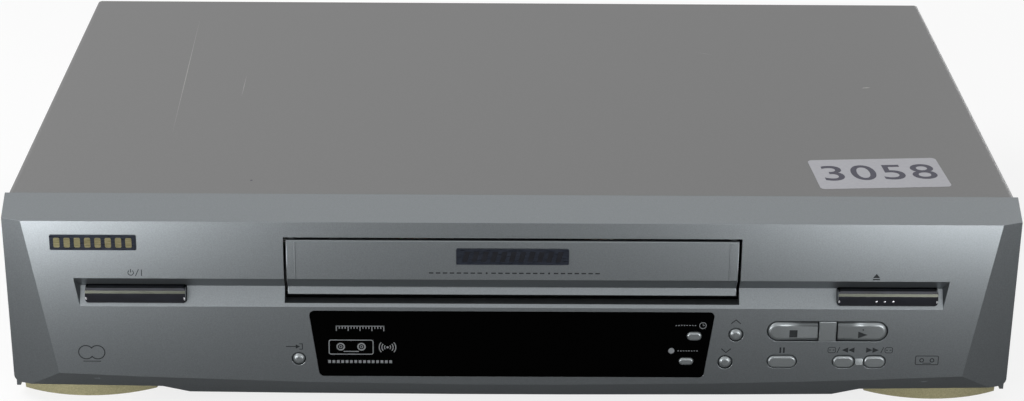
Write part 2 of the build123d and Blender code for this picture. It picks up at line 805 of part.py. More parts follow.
with BuildPart() as display_tube:
    span((-display_half, display_half), (y_at(board_depth - display_thickness), y_at(board_depth)),
         (display_low_z, display_top_z))
    fillet(display_tube.edges().filter_by(Axis.X), display_thickness / 6)
finish(display_tube.part, "display_tube")

# ---------------------------------------------------------------- cover, pan, feet, rear panel
side_screw_ys = [y_at(depth) for depth in side_screw_depths]
rear_screw_z = height - rear_lip / 2 - cover_sheet / 2
rear_screw_xs = (-rear_screw_x, 0.0, rear_screw_x)
with BuildPart() as top_cover:
    with BuildSketch(Plane(origin=(0, seam_y, 0), x_dir=(1, 0, 0), z_dir=(0, -1, 0))) as section:
        with Locations((0, (height + foot_notch_z) / 2)):
            Rectangle(2 * cover_half, height - foot_notch_z)
        fillet(section.vertices().group_by(Axis.Z)[-1], cover_radius)
        with Locations((0, (cover_under_z - wall) / 2)):
            Rectangle(2 * cover_inner_half, cover_under_z + wall, mode=Mode.SUBTRACT)
    extrude(amount=-(rear_y - seam_y))
    span((-cover_inner_half, cover_inner_half), (rear_y - cover_sheet, rear_y),
         (height - rear_lip, cover_under_z + cover_sheet / 2))
    for y in side_screw_ys:
        rod((-half_width, y, side_screw_z), (1, 0, 0), screw_radius + key_gap, width,
            mode=Mode.SUBTRACT)
    for x in rear_screw_xs:
        rod((x, rear_y - 2 * cover_sheet, rear_screw_z), (0, 1, 0), screw_radius + key_gap,
            4 * cover_sheet, mode=Mode.SUBTRACT)
finish(top_cover.part, "top_cover")

deck_posts = [(side * (deck_half - deck_post_inset), y_at(depth))
              for side in (-1, 1)
              for depth in (deck_front_depth + deck_post_inset, deck_back_depth - deck_post_inset)]
board_left = -deck_half
board_right = pan_half - board_edge_gap
board_front_y = y_at(deck_front_depth)
board_back_y = panel_y - board_edge_gap
power_left = -pan_half + board_edge_gap
power_right = power_left + power_board_width
standoffs = [(x, y)
             for x in (board_left + standoff_height, board_right - standoff_height,
                       power_left + standoff_height, power_right - standoff_height)
             for y in (board_front_y + standoff_height, board_back_y - standoff_height)]
pan_back_y = panel_y + panel_sheet
with BuildPart() as bottom_pan:
    span((-pan_half, pan_half), (seam_y + seat_gap, pan_back_y), (pan_low_z, pan_top_z))
    for side in (-1, 1):
        low, high = sorted((side * (pan_half - pan_sheet), side * pan_half))
        span((low, high), (seam_y + tongue_reach + seat_gap, pan_back_y),
             (pan_low_z, pan_low_z + pan_flange))
    for x, y in deck_posts:
        rod((x, y, pan_top_z), (0, 0, 1), deck_post_radius, deck_under_z - pan_top_z)
    for x, y in standoffs:
        rod((x, y, pan_top_z), (0, 0, 1), standoff_radius, standoff_height)
    for y in side_screw_ys:
        rod((-half_width, y, side_screw_z), (1, 0, 0), screw_radius + running_fit, width,
            mode=Mode.SUBTRACT)
finish(bottom_pan.part, "bottom_pan")

with BuildPart() as front_feet:
    for side in (-1, 1):
        with BuildSketch() as base:
            with Locations((side * foot_x, y_at((foot_front_depth + foot_back_depth) / 2))):
                Rectangle(2 * foot_half, foot_back_depth - foot_front_depth)
            with Locations((side * foot_x, y_at(foot_front_depth + foot_round))):
                Circle(foot_round, mode=Mode.INTERSECT)
        extrude(base.sketch, amount=foot_height, taper=-foot_draft)
    neck_y = y_at(bezel_depth + foot_neck_inset)
    for side in (-1, 1):
        span((side * foot_x - foot_half + foot_neck_inset, side * foot_x + foot_half - foot_neck_inset),
             (neck_y, y_at(foot_back_depth - foot_neck_inset)), (foot_height, pan_low_z))
finish(front_feet.part, "front_feet")

with BuildPart() as rear_feet:
    for side in (-1, 1):
        with Locations((side * rear_foot_x, rear_y - rear_foot_from_back, 0)):
            Cone(rear_foot_radius - rear_foot_draft, rear_foot_radius, pan_low_z,
                 align=(Align.CENTER, Align.CENTER, Align.MIN))
finish(rear_feet.part, "rear_feet")

jack_places = [(jack_x, jack_z), (jack_x + jack_pitch, jack_z)]
aerial_places = [(tuner_x, aerial_low_z), (tuner_x, aerial_low_z + aerial_pitch)]
with BuildPart() as rear_panel:
    span((-pan_half + pan_sheet + seat_gap, pan_half - pan_sheet - seat_gap), (panel_y, pan_back_y),
         (pan_top_z + seat_gap, cover_under_z - seat_gap))
    for x in scart_x:
        span((x - scart_width / 2 - seat_gap, x + scart_width / 2 + seat_gap),
             (panel_y - overshoot, pan_back_y + overshoot),
             (scart_z - scart_height / 2 - seat_gap, scart_z + scart_height / 2 + seat_gap),
             mode=Mode.SUBTRACT)
    for x, z in jack_places:
        rod((x, panel_y - overshoot, z), (0, 1, 0), jack_barrel_radius + socket_collar + seat_gap,
            panel_sheet + 2 * overshoot, mode=Mode.SUBTRACT)
    for x, z in aerial_places:
        rod((x, panel_y - overshoot, z), (0, 1, 0), aerial_radius + socket_collar + seat_gap,
            panel_sheet + 2 * overshoot, mode=Mode.SUBTRACT)
    span((inlet_x - inlet_width / 2 - seat_gap, inlet_x + inlet_width / 2 + seat_gap),
         (panel_y - overshoot, pan_back_y + overshoot),
         (inlet_z - inlet_height / 2 - seat_gap, inlet_z + inlet_height / 2 + seat_gap), mode=Mode.SUBTRACT)
    for i in range(vent_count):
        x = vent_x + (i - (vent_count - 1) / 2) * vent_pitch
        span((x - vent_width / 2, x + vent_width / 2), (panel_y - overshoot, pan_back_y + overshoot),
             (vent_z - vent_height / 2, vent_z + vent_height / 2), mode=Mode.SUBTRACT)
    for x in rear_screw_xs:
        rod((x, panel_y - overshoot, rear_screw_z), (0, 1, 0), screw_radius + running_fit,
            panel_sheet + 2 * overshoot, mode=Mode.SUBTRACT)
finish(rear_panel.part, "rear_panel")

with BuildPart() as cover_screws:
    for side in (-1, 1):
        for y in side_screw_ys:
            rod((side * (cover_half + screw_head_height), y, side_screw_z), (-side, 0, 0),
                screw_head_radius, screw_head_height)
            rod((side * cover_half, y, side_screw_z), (-side, 0, 0), screw_radius, screw_length)
    for x in rear_screw_xs:
        rod((x, rear_y, rear_screw_z), (0, 1, 0), screw_head_radius, screw_head_height)
        rod((x, rear_y, rear_screw_z), (0, -1, 0), screw_radius, screw_length)
finish(cover_screws.part, "cover_screws")

# ---------------------------------------------------------------- rear sockets
socket_y = rear_y + scart_reach
for number, x in enumerate(scart_x, start=1):
    with BuildPart() as scart_socket:
        span((x - scart_width / 2, x + scart_width / 2), (socket_y - scart_depth, socket_y),
             (scart_z - scart_height / 2, scart_z + scart_height / 2))
        with BuildSketch(Plane.XZ.offset(-socket_y)) as mouth:
            with Locations((x, scart_z)):
                Rectangle(scart_cavity_width, scart_cavity_height)
            chamfer(mouth.vertices().sort_by(Axis.Z)[:1], scart_cavity_height / 4)
        extrude(amount=scart_cavity_depth, mode=Mode.SUBTRACT)
    finish(scart_socket.part, f"scart_socket_{number}")

with BuildPart() as audio_jacks:
    span((jack_x - jack_block / 2, jack_x + jack_pitch + jack_block / 2),
         (panel_y - seat_gap - jack_block, panel_y - seat_gap), (main_board_top_z, jack_z + jack_block / 2))
    for x, z in jack_places:
        rod((x, panel_y - seat_gap, z), (0, 1, 0), jack_barrel_radius + socket_collar,
            rear_y - panel_y + seat_gap)
        rod((x, rear_y, z), (0, 1, 0), jack_barrel_radius, jack_reach)
        rod((x, rear_y + jack_reach, z), (0, -1, 0), jack_bore_radius, jack_reach + jack_block / 2,
            mode=Mode.SUBTRACT)
finish(audio_jacks.part, "audio_jacks")

with BuildPart() as tuner_module:
    tuner_back_y = panel_y - seat_gap
    span((tuner_x - tuner_width / 2, tuner_x + tuner_width / 2),
         (tuner_back_y - tuner_length, tuner_back_y), (main_board_top_z, tuner_top_z))
    span((tuner_x - tuner_width / 2 + tuner_sheet, tuner_x + tuner_width / 2 - tuner_sheet),
         (tuner_back_y - tuner_length + tuner_sheet, tuner_back_y - tuner_end_wall),
         (main_board_top_z - overshoot, tuner_top_z - tuner_sheet), mode=Mode.SUBTRACT)
    for x, z in aerial_places:
        rod((x, tuner_back_y, z), (0, 1, 0), aerial_radius + socket_collar, rear_y - tuner_back_y)
        rod((x, rear_y, z), (0, 1, 0), aerial_radius, aerial_reach)
        rod((x, rear_y + aerial_reach, z), (0, -1, 0), aerial_bore_radius, aerial_reach + 2 * wall,
            mode=Mode.SUBTRACT)
finish(tuner_module.part, "tuner_module")

inlet_y = rear_y + inlet_reach
with BuildPart() as mains_inlet:
    span((inlet_x - inlet_width / 2, inlet_x + inlet_width / 2), (inlet_y - inlet_depth, inlet_y),
         (inlet_z - inlet_height / 2, inlet_z + inlet_height / 2))
    span((inlet_x - inlet_width / 2, inlet_x + inlet_width / 2), (inlet_y - inlet_depth, panel_y - seat_gap),
         (main_board_top_z, inlet_z))
    with BuildSketch(Plane.XZ.offset(-inlet_y)):
        with Locations((inlet_x, inlet_z)):
            SlotOverall(inlet_cavity_width, inlet_cavity_height)
    extrude(amount=inlet_cavity_depth, mode=Mode.SUBTRACT)
    for side in (-1, 1):
        rod((inlet_x + side * inlet_pin_pitch / 2, inlet_y - inlet_cavity_depth, inlet_z), (0, 1, 0),
            inlet_pin_radius, inlet_cavity_depth - inlet_reach)
finish(mains_inlet.part, "mains_inlet")

# ---------------------------------------------------------------- boards and power supply
with BuildPart() as main_board:
    span((board_left, board_right), (board_front_y, board_back_y), (main_board_z, main_board_top_z))
    for x, y in deck_posts:
        rod((x, y, main_board_z - overshoot), (0, 0, 1), deck_post_radius + key_gap,
            main_board_thickness + 2 * overshoot, mode=Mode.SUBTRACT)
finish(main_board.part, "main_board")

with BuildPart() as power_board:
    span((power_left, power_right), (board_front_y, board_back_y), (main_board_z, main_board_top_z))
finish(power_board.part, "power_board")

transformer_x = (power_left + power_right) / 2
transformer_y = y_at(deck_front_depth + board_edge_gap + transformer_size)
with BuildPart() as power_transformer:
    for across, along, tall in ((transformer_size, transformer_core, transformer_height),
                                (coil_width, transformer_size, coil_height)):
        span((transformer_x - across / 2, transformer_x + across / 2),
             (transformer_y - along / 2, transformer_y + along / 2),
             (main_board_top_z, main_board_top_z + tall))
finish(power_transformer.part, "power_transformer")

capacitor_y = transformer_y + transformer_size
with BuildPart() as filter_capacitors:
    for i in range(capacitor_count):
        x = transformer_x + (i - (capacitor_count - 1) / 2) * (2 * capacitor_radius + board_edge_gap / 2)
        rod((x, capacitor_y, main_board_top_z), (0, 0, 1), capacitor_radius, capacitor_height)
finish(filter_capacitors.part, "filter_capacitors")

sink_y = capacitor_y + 4 * capacitor_radius
with BuildPart() as heat_sink:
    span((transformer_x - heat_sink_length / 2, transformer_x + heat_sink_length / 2),
         (sink_y, sink_y + heat_sink_wall), (main_board_top_z, main_board_top_z + heat_sink_height))
    for i in range(heat_sink_fins):
        x = transformer_x + (i / (heat_sink_fins - 1) - 0.5) * (heat_sink_length - heat_sink_wall)
        span((x - heat_sink_wall / 2, x + heat_sink_wall / 2), (sink_y, sink_y + heat_sink_fin),
             (main_board_top_z, main_board_top_z + heat_sink_height))
finish(heat_sink.part, "heat_sink")

# ---------------------------------------------------------------- deck
reel_y = y_at(reel_depth)
clutch_y = y_at(clutch_depth)
capstan_y = y_at(capstan_depth)
pinch_pivot_y = y_at(pinch_pivot_depth)
tension_pivot_y = y_at(tension_pivot_depth)
cam_y = y_at(cam_depth)
guide_run = hypot(guide_end_x - guide_rest_x, guide_end_depth - guide_rest_depth)
guide_angle = degrees(atan2(guide_end_depth - guide_rest_depth, guide_end_x - guide_rest_x))
arm_low_z = deck_top_z + seat_gap
arm_pivot_height = 3 * arm_sheet
with BuildPart() as deck_chassis:
    span((-deck_half, deck_half), (y_at(deck_front_depth), y_at(deck_back_depth)), (deck_under_z, deck_top_z))
    for side in (-1, 1):
        rod((side * reel_x, reel_y, deck_under_z), (0, 0, 1), reel_pin_radius,
            deck_sheet + reel_hub_height + reel_table_height)
        # slot that the guide runs in
        middle_x = side * (guide_rest_x + guide_end_x) / 2
        middle_y = y_at((guide_rest_depth + guide_end_depth) / 2)
        turn = guide_angle if side > 0 else 180 - guide_angle
        with BuildSketch(Plane.XY.offset(deck_under_z)):
            with Locations(Location((middle_x, middle_y, 0), (0, 0, turn))):
                SlotOverall(guide_run + 2 * guide_pin_radius + 2 * slot_extra,
                            2 * (guide_pin_radius + slot_extra))
        extrude(amount=deck_sheet, mode=Mode.SUBTRACT)
    for x, y in ((pinch_pivot_x, pinch_pivot_y), (tension_pivot_x, tension_pivot_y), (cam_x, cam_y)):
        rod((x, y, deck_under_z), (0, 0, 1), arm_pivot_radius, deck_sheet + arm_pivot_height)
    for x, y, radius in ((capstan_x, capstan_y, bearing_radius - 2 * deck_sheet),
                         (0, clutch_y, reel_pin_radius + 2 * running_fit)):
        rod((x, y, deck_under_z - overshoot), (0, 0, 1), radius, deck_sheet + 2 * overshoot,
            mode=Mode.SUBTRACT)
    rod((0, clutch_y, deck_under_z), (0, 0, 1), 3 * reel_pin_radius, deck_sheet)
    rod((0, clutch_y, deck_under_z - overshoot), (0, 0, 1), reel_pin_radius + running_fit,
        deck_sheet + 2 * overshoot, mode=Mode.SUBTRACT)
finish(deck_chassis.part, "deck_chassis")

for side, name in ((-1, "supply_reel"), (1, "take_up_reel")):
    with BuildPart() as reel:
        base = (side * reel_x, reel_y, deck_top_z + seat_gap)
        rod(base, (0, 0, 1), reel_radius, reel_table_height)
        rod(base, (0, 0, 1), reel_hub_radius, reel_table_height + reel_hub_height)
        for i in range(reel_fins):
            angle = 360 / reel_fins * i
            with Locations(Location((side * reel_x, reel_y, base[2]), (0, 0, angle))):
                with Locations((reel_hub_radius, 0, 0)):
                    Box(2 * reel_pin_radius, reel_pin_radius, reel_table_height + reel_hub_height / 2,
                        align=(Align.CENTER, Align.CENTER, Align.MIN))
        rod((base[0], base[1], base[2] - overshoot), (0, 0, 1), reel_pin_radius + running_fit,
            reel_table_height + reel_hub_height + 2 * overshoot, mode=Mode.SUBTRACT)
    finish(reel.part, name)

tilt = radians(drum_tilt)
drum_axis = (0, sin(tilt), cos(tilt))
drum_origin = Vector(drum_x, y_at(drum_depth), drum_pivot_z)


def along_drum(distance):
    """A point on the drum's axis, measured up from the underside of the lower drum."""
    return drum_origin + Vector(*drum_axis) * distance


with BuildPart() as lower_drum:
    rod(along_drum(0), drum_axis, drum_radius, lower_drum_height)
    rod((drum_x, y_at(drum_depth), deck_top_z), (0, 0, 1), drum_base_radius,
        drum_pivot_z + drum_base_radius * sin(tilt) + drum_foot_sink - deck_top_z)
    rod(along_drum(lower_drum_height / 4), drum_axis, drum_shaft_radius + running_fit,
        2 * lower_drum_height, mode=Mode.SUBTRACT)
finish(lower_drum.part, "lower_drum")

upper_drum_base = lower_drum_height + drum_slit
with BuildPart() as upper_drum:
    rod(along_drum(upper_drum_base), drum_axis, drum_radius, upper_drum_height)
    rod(along_drum(upper_drum_base + upper_drum_height), drum_axis, rotor_radius, rotor_height)
    rod(along_drum(lower_drum_height / 4 + drum_slit), drum_axis, drum_shaft_radius,
        lower_drum_height)
finish(upper_drum.part, "upper_drum")

with BuildPart() as capstan_bearing:
    rod((capstan_x, capstan_y, deck_top_z), (0, 0, 1), bearing_radius, bearing_height)
    rod((capstan_x, capstan_y, deck_top_z - overshoot), (0, 0, 1), capstan_shaft_radius + running_fit,
        bearing_height + 2 * overshoot, mode=Mode.SUBTRACT)
finish(capstan_bearing.part, "capstan_bearing")

with BuildPart() as capstan_rotor:
    rod((capstan_x, capstan_y, flywheel_low_z), (0, 0, 1), flywheel_radius, flywheel_height - belt_width / 2)
    rod((capstan_x, capstan_y, flywheel_low_z), (0, 0, 1), pulley_radius,
        flywheel_height + belt_width / 2 + 2 * seat_gap)
    rod((capstan_x, capstan_y, flywheel_low_z), (0, 0, 1), capstan_shaft_radius,
        capstan_top_z - flywheel_low_z)
finish(capstan_rotor.part, "capstan_rotor")

belt_low_z = flywheel_low_z + flywheel_height - belt_width / 2 + seat_gap
clutch_top_z = deck_top_z + 2 * seat_gap + clutch_gear_height
with BuildPart() as clutch_pulley:
    rod((0, clutch_y, belt_low_z - seat_gap), (0, 0, 1), clutch_radius, belt_width + 2 * seat_gap)
    rod((0, clutch_y, belt_low_z), (0, 0, 1), reel_pin_radius, clutch_top_z - belt_low_z)
    rod((0, clutch_y, deck_top_z + seat_gap), (0, 0, 1), clutch_gear_radius, clutch_gear_height)
finish(clutch_pulley.part, "clutch_pulley")

with BuildPart() as drive_belt:
    for grow, mode in ((belt_gap + belt_thickness, Mode.ADD), (belt_gap, Mode.SUBTRACT)):
        with BuildSketch(Plane.XY.offset(belt_low_z)):
            with Locations((capstan_x, capstan_y)):
                Circle(pulley_radius + grow)
            with Locations((0, clutch_y)):
                Circle(clutch_radius + grow)
            make_hull()
        extrude(amount=belt_width, mode=mode)
finish(drive_belt.part, "drive_belt")

# pinch roller: the closed place beside the capstan, swung back to where it rests
closed = Vector(capstan_x + pinch_closed_dx - pinch_pivot_x,
                capstan_y + pinch_closed_dy - pinch_pivot_y, 0)
rest = closed.rotate(Axis.Z, -pinch_swing)
roller_x = pinch_pivot_x + rest.X
roller_y = pinch_pivot_y + rest.Y
roller_low_z = deck_top_z + bearing_height + cassette_clearance
with BuildPart() as pinch_arm:
    with BuildSketch(Plane.XY.offset(arm_low_z)):
        with Locations((pinch_pivot_x, pinch_pivot_y)):
            Circle(arm_half)
        with Locations((roller_x, roller_y)):
            Circle(arm_tip_half)
        make_hull()
    extrude(amount=arm_sheet)
    rod((roller_x, roller_y, arm_low_z), (0, 0, 1), arm_tip_half, roller_low_z - seat_gap - arm_low_z)
    rod((pinch_pivot_x, pinch_pivot_y, arm_low_z - overshoot), (0, 0, 1),
        arm_pivot_radius + running_fit, arm_sheet + 2 * overshoot, mode=Mode.SUBTRACT)
    rod((roller_x, roller_y, arm_low_z), (0, 0, 1), roller_pin_radius,
        roller_low_z + roller_height + arm_sheet / 2 - arm_low_z)
finish(pinch_arm.part, "pinch_arm")

with BuildPart() as pinch_roller:
    rod((roller_x, roller_y, roller_low_z), (0, 0, 1), roller_radius, roller_height)
    rod((roller_x, roller_y, roller_low_z - overshoot), (0, 0, 1), roller_pin_radius + running_fit,
        roller_height + 2 * overshoot, mode=Mode.SUBTRACT)
finish(pinch_roller.part, "pinch_roller")

for side, name in ((-1, "supply_guide"), (1, "take_up_guide")):
    with BuildPart() as guide:
        x = side * guide_rest_x
        y = y_at(guide_rest_depth)
        span((x - guide_base / 2, x + guide_base / 2), (y - guide_base / 2, y + guide_base / 2),
             (deck_top_z + seat_gap, deck_top_z + seat_gap + guide_base_height))
        rod((x, y, deck_under_z - seat_gap), (0, 0, 1), guide_pin_radius, guide_base_height)
        rod((x, y, deck_top_z + guide_base_height), (0, 0, 1), guide_roller_radius, guide_height)
        rod((x, y, deck_top_z + guide_base_height + guide_height), (0, 0, 1), guide_cap_radius,
            guide_cap_height)
    finish(guide.part, name)

tension_tip = Vector(tension_length, 0, 0).rotate(Axis.Z, tension_angle)
with BuildPart() as tension_arm:
    tip = (tension_pivot_x + tension_tip.X, tension_pivot_y + tension_tip.Y)
    with BuildSketch(Plane.XY.offset(arm_low_z)):
        with Locations((tension_pivot_x, tension_pivot_y)):
            Circle(arm_half)
        with Locations(tip):
            Circle(arm_tip_half)
        make_hull()
    extrude(amount=arm_sheet / 2)
    rod((tension_pivot_x, tension_pivot_y, arm_low_z - overshoot), (0, 0, 1),
        arm_pivot_radius + running_fit, arm_sheet + 2 * overshoot, mode=Mode.SUBTRACT)
    rod((*tip, arm_low_z), (0, 0, 1), roller_pin_radius, tension_post_height)
finish(tension_arm.part, "tension_arm")

with BuildPart() as tape_heads:
    for x, depth in ((erase_head_x, erase_head_depth), (audio_head_x, audio_head_depth)):
        span((x - head_width / 2, x + head_width / 2),
             (y_at(depth) - head_length / 2, y_at(depth) + head_length / 2),
             (deck_top_z, deck_top_z + head_height))
        fillet_edges = tape_heads.edges().filter_by(Axis.Z).filter_by_position(
            Axis.X, x - head_width, x + head_width)
        fillet(fillet_edges, head_length / 4)
finish(tape_heads.part, "tape_heads")

with BuildPart() as cam_gear:
    rod((cam_x, cam_y, arm_low_z), (0, 0, 1), cam_radius - cam_tooth, cam_height)
    for i in range(cam_teeth):
        with Locations(Location((cam_x, cam_y, arm_low_z), (0, 0, 360 / cam_teeth * i))):
            with Locations((cam_radius - cam_tooth, 0, 0)):
                Box(2 * cam_tooth, cam_tooth, cam_height / 2, align=(Align.CENTER, Align.CENTER, Align.MIN))
    rod((cam_x, cam_y, arm_low_z - overshoot), (0, 0, 1), arm_pivot_radius + running_fit,
        cam_height + 2 * overshoot, mode=Mode.SUBTRACT)
finish(cam_gear.part, "cam_gear")

motor_y = y_at(loading_motor_depth)
with BuildPart() as loading_motor:
    motor_low = loading_motor_x - loading_motor_length / 2
    rod((motor_low, motor_y, deck_top_z + loading_motor_radius), (1, 0, 0), loading_motor_radius,
        loading_motor_length)
    span((motor_low, motor_low + loading_motor_length),
         (motor_y - loading_motor_radius, motor_y + loading_motor_radius),
         (deck_top_z, deck_top_z + loading_motor_radius))
finish(loading_motor.part, "loading_motor")

# ---------------------------------------------------------------- cassette carriage
carriage_inner_half = cassette_half + cassette_clearance
carriage_half = carriage_inner_half + carriage_sheet
lip_top_z = cassette_low_z - cassette_clearance
roof_low_z = cassette_low_z + cassette_thickness + 2 * cassette_clearance
carriage_low_z = lip_top_z - carriage_sheet
carriage_top_z = roof_low_z + carriage_sheet
carriage_y = y_at(carriage_front_depth)
carriage_back_y = carriage_y + carriage_length
pin_ys = (carriage_y + carriage_pin_inset, carriage_back_y - carriage_pin_inset)
pin_z = carriage_top_z - 2 * carriage_pin_radius - carriage_sheet
slider_low_x = carriage_half + slider_gap
slider_high_x = slider_low_x + slider_sheet
bracket_low_x = slider_high_x + bracket_gap
bracket_high_x = bracket_low_x + bracket_sheet
slot_half = carriage_pin_radius + running_fit
drop_extra = carriage_drop + slot_extra
in_extra = carriage_travel_in + slot_extra
with BuildPart() as cassette_carriage:
    span((-carriage_half, carriage_half), (carriage_y, carriage_back_y), (carriage_low_z, carriage_top_z))
    span((-carriage_inner_half, carriage_inner_half), (carriage_y - overshoot, carriage_back_y + overshoot),
         (lip_top_z, roof_low_z), mode=Mode.SUBTRACT)
    span((-carriage_inner_half + carriage_lip, carriage_inner_half - carriage_lip),
         (carriage_y - overshoot, carriage_back_y + overshoot), (carriage_low_z - overshoot, lip_top_z),
         mode=Mode.SUBTRACT)
    for side in (-1, 1):
        for y in pin_ys:
            rod((side * (carriage_half - carriage_sheet / 2), y, pin_z), (side, 0, 0), carriage_pin_radius,
                slider_gap + slider_sheet + carriage_sheet / 2)
finish(cassette_carriage.part, "cassette_carriage")

# sliders: upright slots take the carriage's pins, their own pins run in the brackets
slider_low_z = pin_z - drop_extra - 2 * carriage_pin_radius
slider_top_z = carriage_top_z
slider_pin_z = slider_low_z + 2 * carriage_pin_radius
slider_pin_ys = (pin_ys[0] + 4 * carriage_pin_radius, pin_ys[1] - 4 * carriage_pin_radius)
with BuildPart() as carriage_sliders:
    for side in (-1, 1):
        low, high = sorted((side * slider_low_x, side * slider_high_x))
        span((low, high), (pin_ys[0] - 3 * carriage_pin_radius, pin_ys[1] + 3 * carriage_pin_radius),
             (slider_low_z, slider_top_z))
        for y in pin_ys:
            span((low - overshoot, high + overshoot), (y - slot_half, y + slot_half),
                 (pin_z - drop_extra - carriage_pin_radius, pin_z + slot_half + slot_extra),
                 mode=Mode.SUBTRACT)
        for y in slider_pin_ys:
            rod((side * slider_low_x, y, slider_pin_z), (side, 0, 0), carriage_pin_radius,
                slider_sheet + bracket_gap + bracket_sheet)
finish(carriage_sliders.part, "carriage_sliders")

bracket_top_z = slider_top_z + cassette_clearance
bracket_front_y = slider_pin_ys[0] - 5 * carriage_pin_radius
bracket_back_y = slider_pin_ys[1] + carriage_travel_in + 5 * carriage_pin_radius
with BuildPart() as carriage_brackets:
    for side in (-1, 1):
        low, high = sorted((side * bracket_low_x, side * bracket_high_x))
        span((low, high), (bracket_front_y, bracket_back_y), (deck_top_z, bracket_top_z))
        for y in slider_pin_ys:
            span((low - overshoot, high + overshoot),
                 (y - carriage_pin_radius - slot_extra, y + in_extra + carriage_pin_radius),
                 (slider_pin_z - slot_half, slider_pin_z + slot_half), mode=Mode.SUBTRACT)
    tie_low_y = bracket_back_y - deck_post_inset
    span((-bracket_high_x, bracket_high_x), (tie_low_y, bracket_back_y),
         (bracket_top_z, bracket_top_z + bracket_sheet))
finish(carriage_brackets.part, "carriage_brackets")
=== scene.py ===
"""Looks of a front-loading cassette recorder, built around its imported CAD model.

The frame is the model's own, in metres: X to the right seen from the front, Y to the rear, Z up.
Small flat pieces are drawn in millimetres on a plane of their own and then set on the surface.
"""

from math import cos, pi, radians, sin

import bmesh
import bpy
from bpy.props import FloatProperty, PointerProperty, StringProperty
from mathutils import Euler, Matrix, Vector


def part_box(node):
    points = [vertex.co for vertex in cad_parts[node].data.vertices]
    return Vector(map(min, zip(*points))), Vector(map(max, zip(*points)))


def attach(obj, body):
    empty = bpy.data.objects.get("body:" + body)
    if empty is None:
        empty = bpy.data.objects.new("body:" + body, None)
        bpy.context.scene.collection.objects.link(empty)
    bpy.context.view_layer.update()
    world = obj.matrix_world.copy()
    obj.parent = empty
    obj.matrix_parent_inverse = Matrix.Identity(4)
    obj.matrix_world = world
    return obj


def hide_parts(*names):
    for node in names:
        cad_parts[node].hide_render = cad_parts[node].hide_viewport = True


bl_info = {
    "name": "Cassette recorder looks",
    "version": (1, 0, 0),
    "blender": (4, 5, 0),
    "location": "3D View > Sidebar > Recorder",
    "description": "Finishes, markings and small fittings of a front-loading cassette recorder",
    "category": "Object",
}

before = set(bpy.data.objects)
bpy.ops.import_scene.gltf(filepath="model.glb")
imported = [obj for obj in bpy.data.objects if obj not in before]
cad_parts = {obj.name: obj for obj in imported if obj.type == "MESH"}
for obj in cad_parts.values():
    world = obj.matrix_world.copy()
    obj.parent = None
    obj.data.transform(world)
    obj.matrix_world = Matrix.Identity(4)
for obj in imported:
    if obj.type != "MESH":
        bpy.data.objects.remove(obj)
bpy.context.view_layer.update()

MM = 0.001
FRONT_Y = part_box("display_window")[0].y
COVER_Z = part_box("top_cover")[1].z
PRINT_PROUD = 0.02     # mm that screen printing stands over its surface
PRINT_SUNK = 0.03      # and reaches into it, so that no light passes under
SMOOTH_ANGLE = radians(35)
CROWN_TILT = radians(7.0)      # of the front at its top and foot
CROWN_BOW = radians(5.0)       # and to the side at its two ends
CROWN_REACH = radians(30)      # faces nearer than this to straight ahead belong to the front
SIDES = (-1, 1)        # left and right, or lower and upper
PITCH = 2.54           # mm from hole to hole of a circuit board
FACING_FRONT = Matrix.Rotation(pi / 2, 4, "X")
FACING_REAR = Matrix.Rotation(pi, 4, "Z") @ FACING_FRONT


# ---------------------------------------------------------------- colours, nodes and materials

def linear(hex_colour):
    """Turns an sRGB hex colour into the linear values that the shaders read."""
    parts = [int(hex_colour.lstrip("#")[i:i + 2], 16) / 255 for i in (0, 2, 4)]
    return [p / 12.92 if p <= 0.04045 else ((p + 0.055) / 1.055) ** 2.4 for p in parts] + [1.0]


def add_node(tree, kind, settings=(), links=()):
    """Adds a node, gives it its settings and socket values, and joins its inputs."""
    node = tree.nodes.new("ShaderNode" + kind)
    for key, value in dict(settings).items():
        if isinstance(key, int) or key in node.inputs:
            node.inputs[key].default_value = value
        else:
            setattr(node, key, value)
    for key, output in dict(links).items():
        tree.links.new(output, node.inputs[key])
    return node


def start_finish(name, colour, roughness, metallic=0.0, sockets=()):
    """Starts a material with its shader's own values; gives its tree, shader and object place."""
    material = bpy.data.materials.new(name)
    material.use_nodes = True
    shader = material.node_tree.nodes["Principled BSDF"]
    values = {"Base Color": linear(colour), "Roughness": roughness, "Metallic": metallic}
    for socket, value in {**values, **dict(sockets)}.items():
        shader.inputs[socket].default_value = value
    place = add_node(material.node_tree, "TexCoord").outputs["Object"]
    return material.node_tree, shader, place


def grain(tree, place, size, stretch=(1, 1, 1), detail=2.0):
    """A soft random pattern from 0 to 1 whose spots are about size metres across."""
    turned = add_node(tree, "Mapping", {"Scale": stretch}, {"Vector": place}).outputs["Vector"]
    noise = add_node(tree, "TexNoise", {"Scale": 1 / size, "Detail": detail}, {"Vector": turned})
    spread = add_node(tree, "MapRange", {"From Min": 0.3, "From Max": 0.7},
                      {"Value": noise.outputs["Fac"]})
    return spread.outputs["Result"]


def vary(tree, shader, pattern, colours=None, roughness=None, relief=None):
    """Lets a pattern vary a finish: its two colours, its roughness range, its height in metres."""
    if colours:
        mix = add_node(tree, "Mix", {"data_type": "RGBA", 6: linear(colours[0]), 7: linear(colours[1])},
                       {0: pattern})
        tree.links.new(mix.outputs[2], shader.inputs["Base Color"])
    if roughness:
        span = add_node(tree, "MapRange", {"To Min": roughness[0], "To Max": roughness[1]},
                        {"Value": pattern})
        tree.links.new(span.outputs["Result"], shader.inputs["Roughness"])
    if relief:
        bump = add_node(tree, "Bump", {"Distance": relief, "Strength": 1.0}, {"Height": pattern})
        tree.links.new(bump.outputs["Normal"], shader.inputs["Normal"])


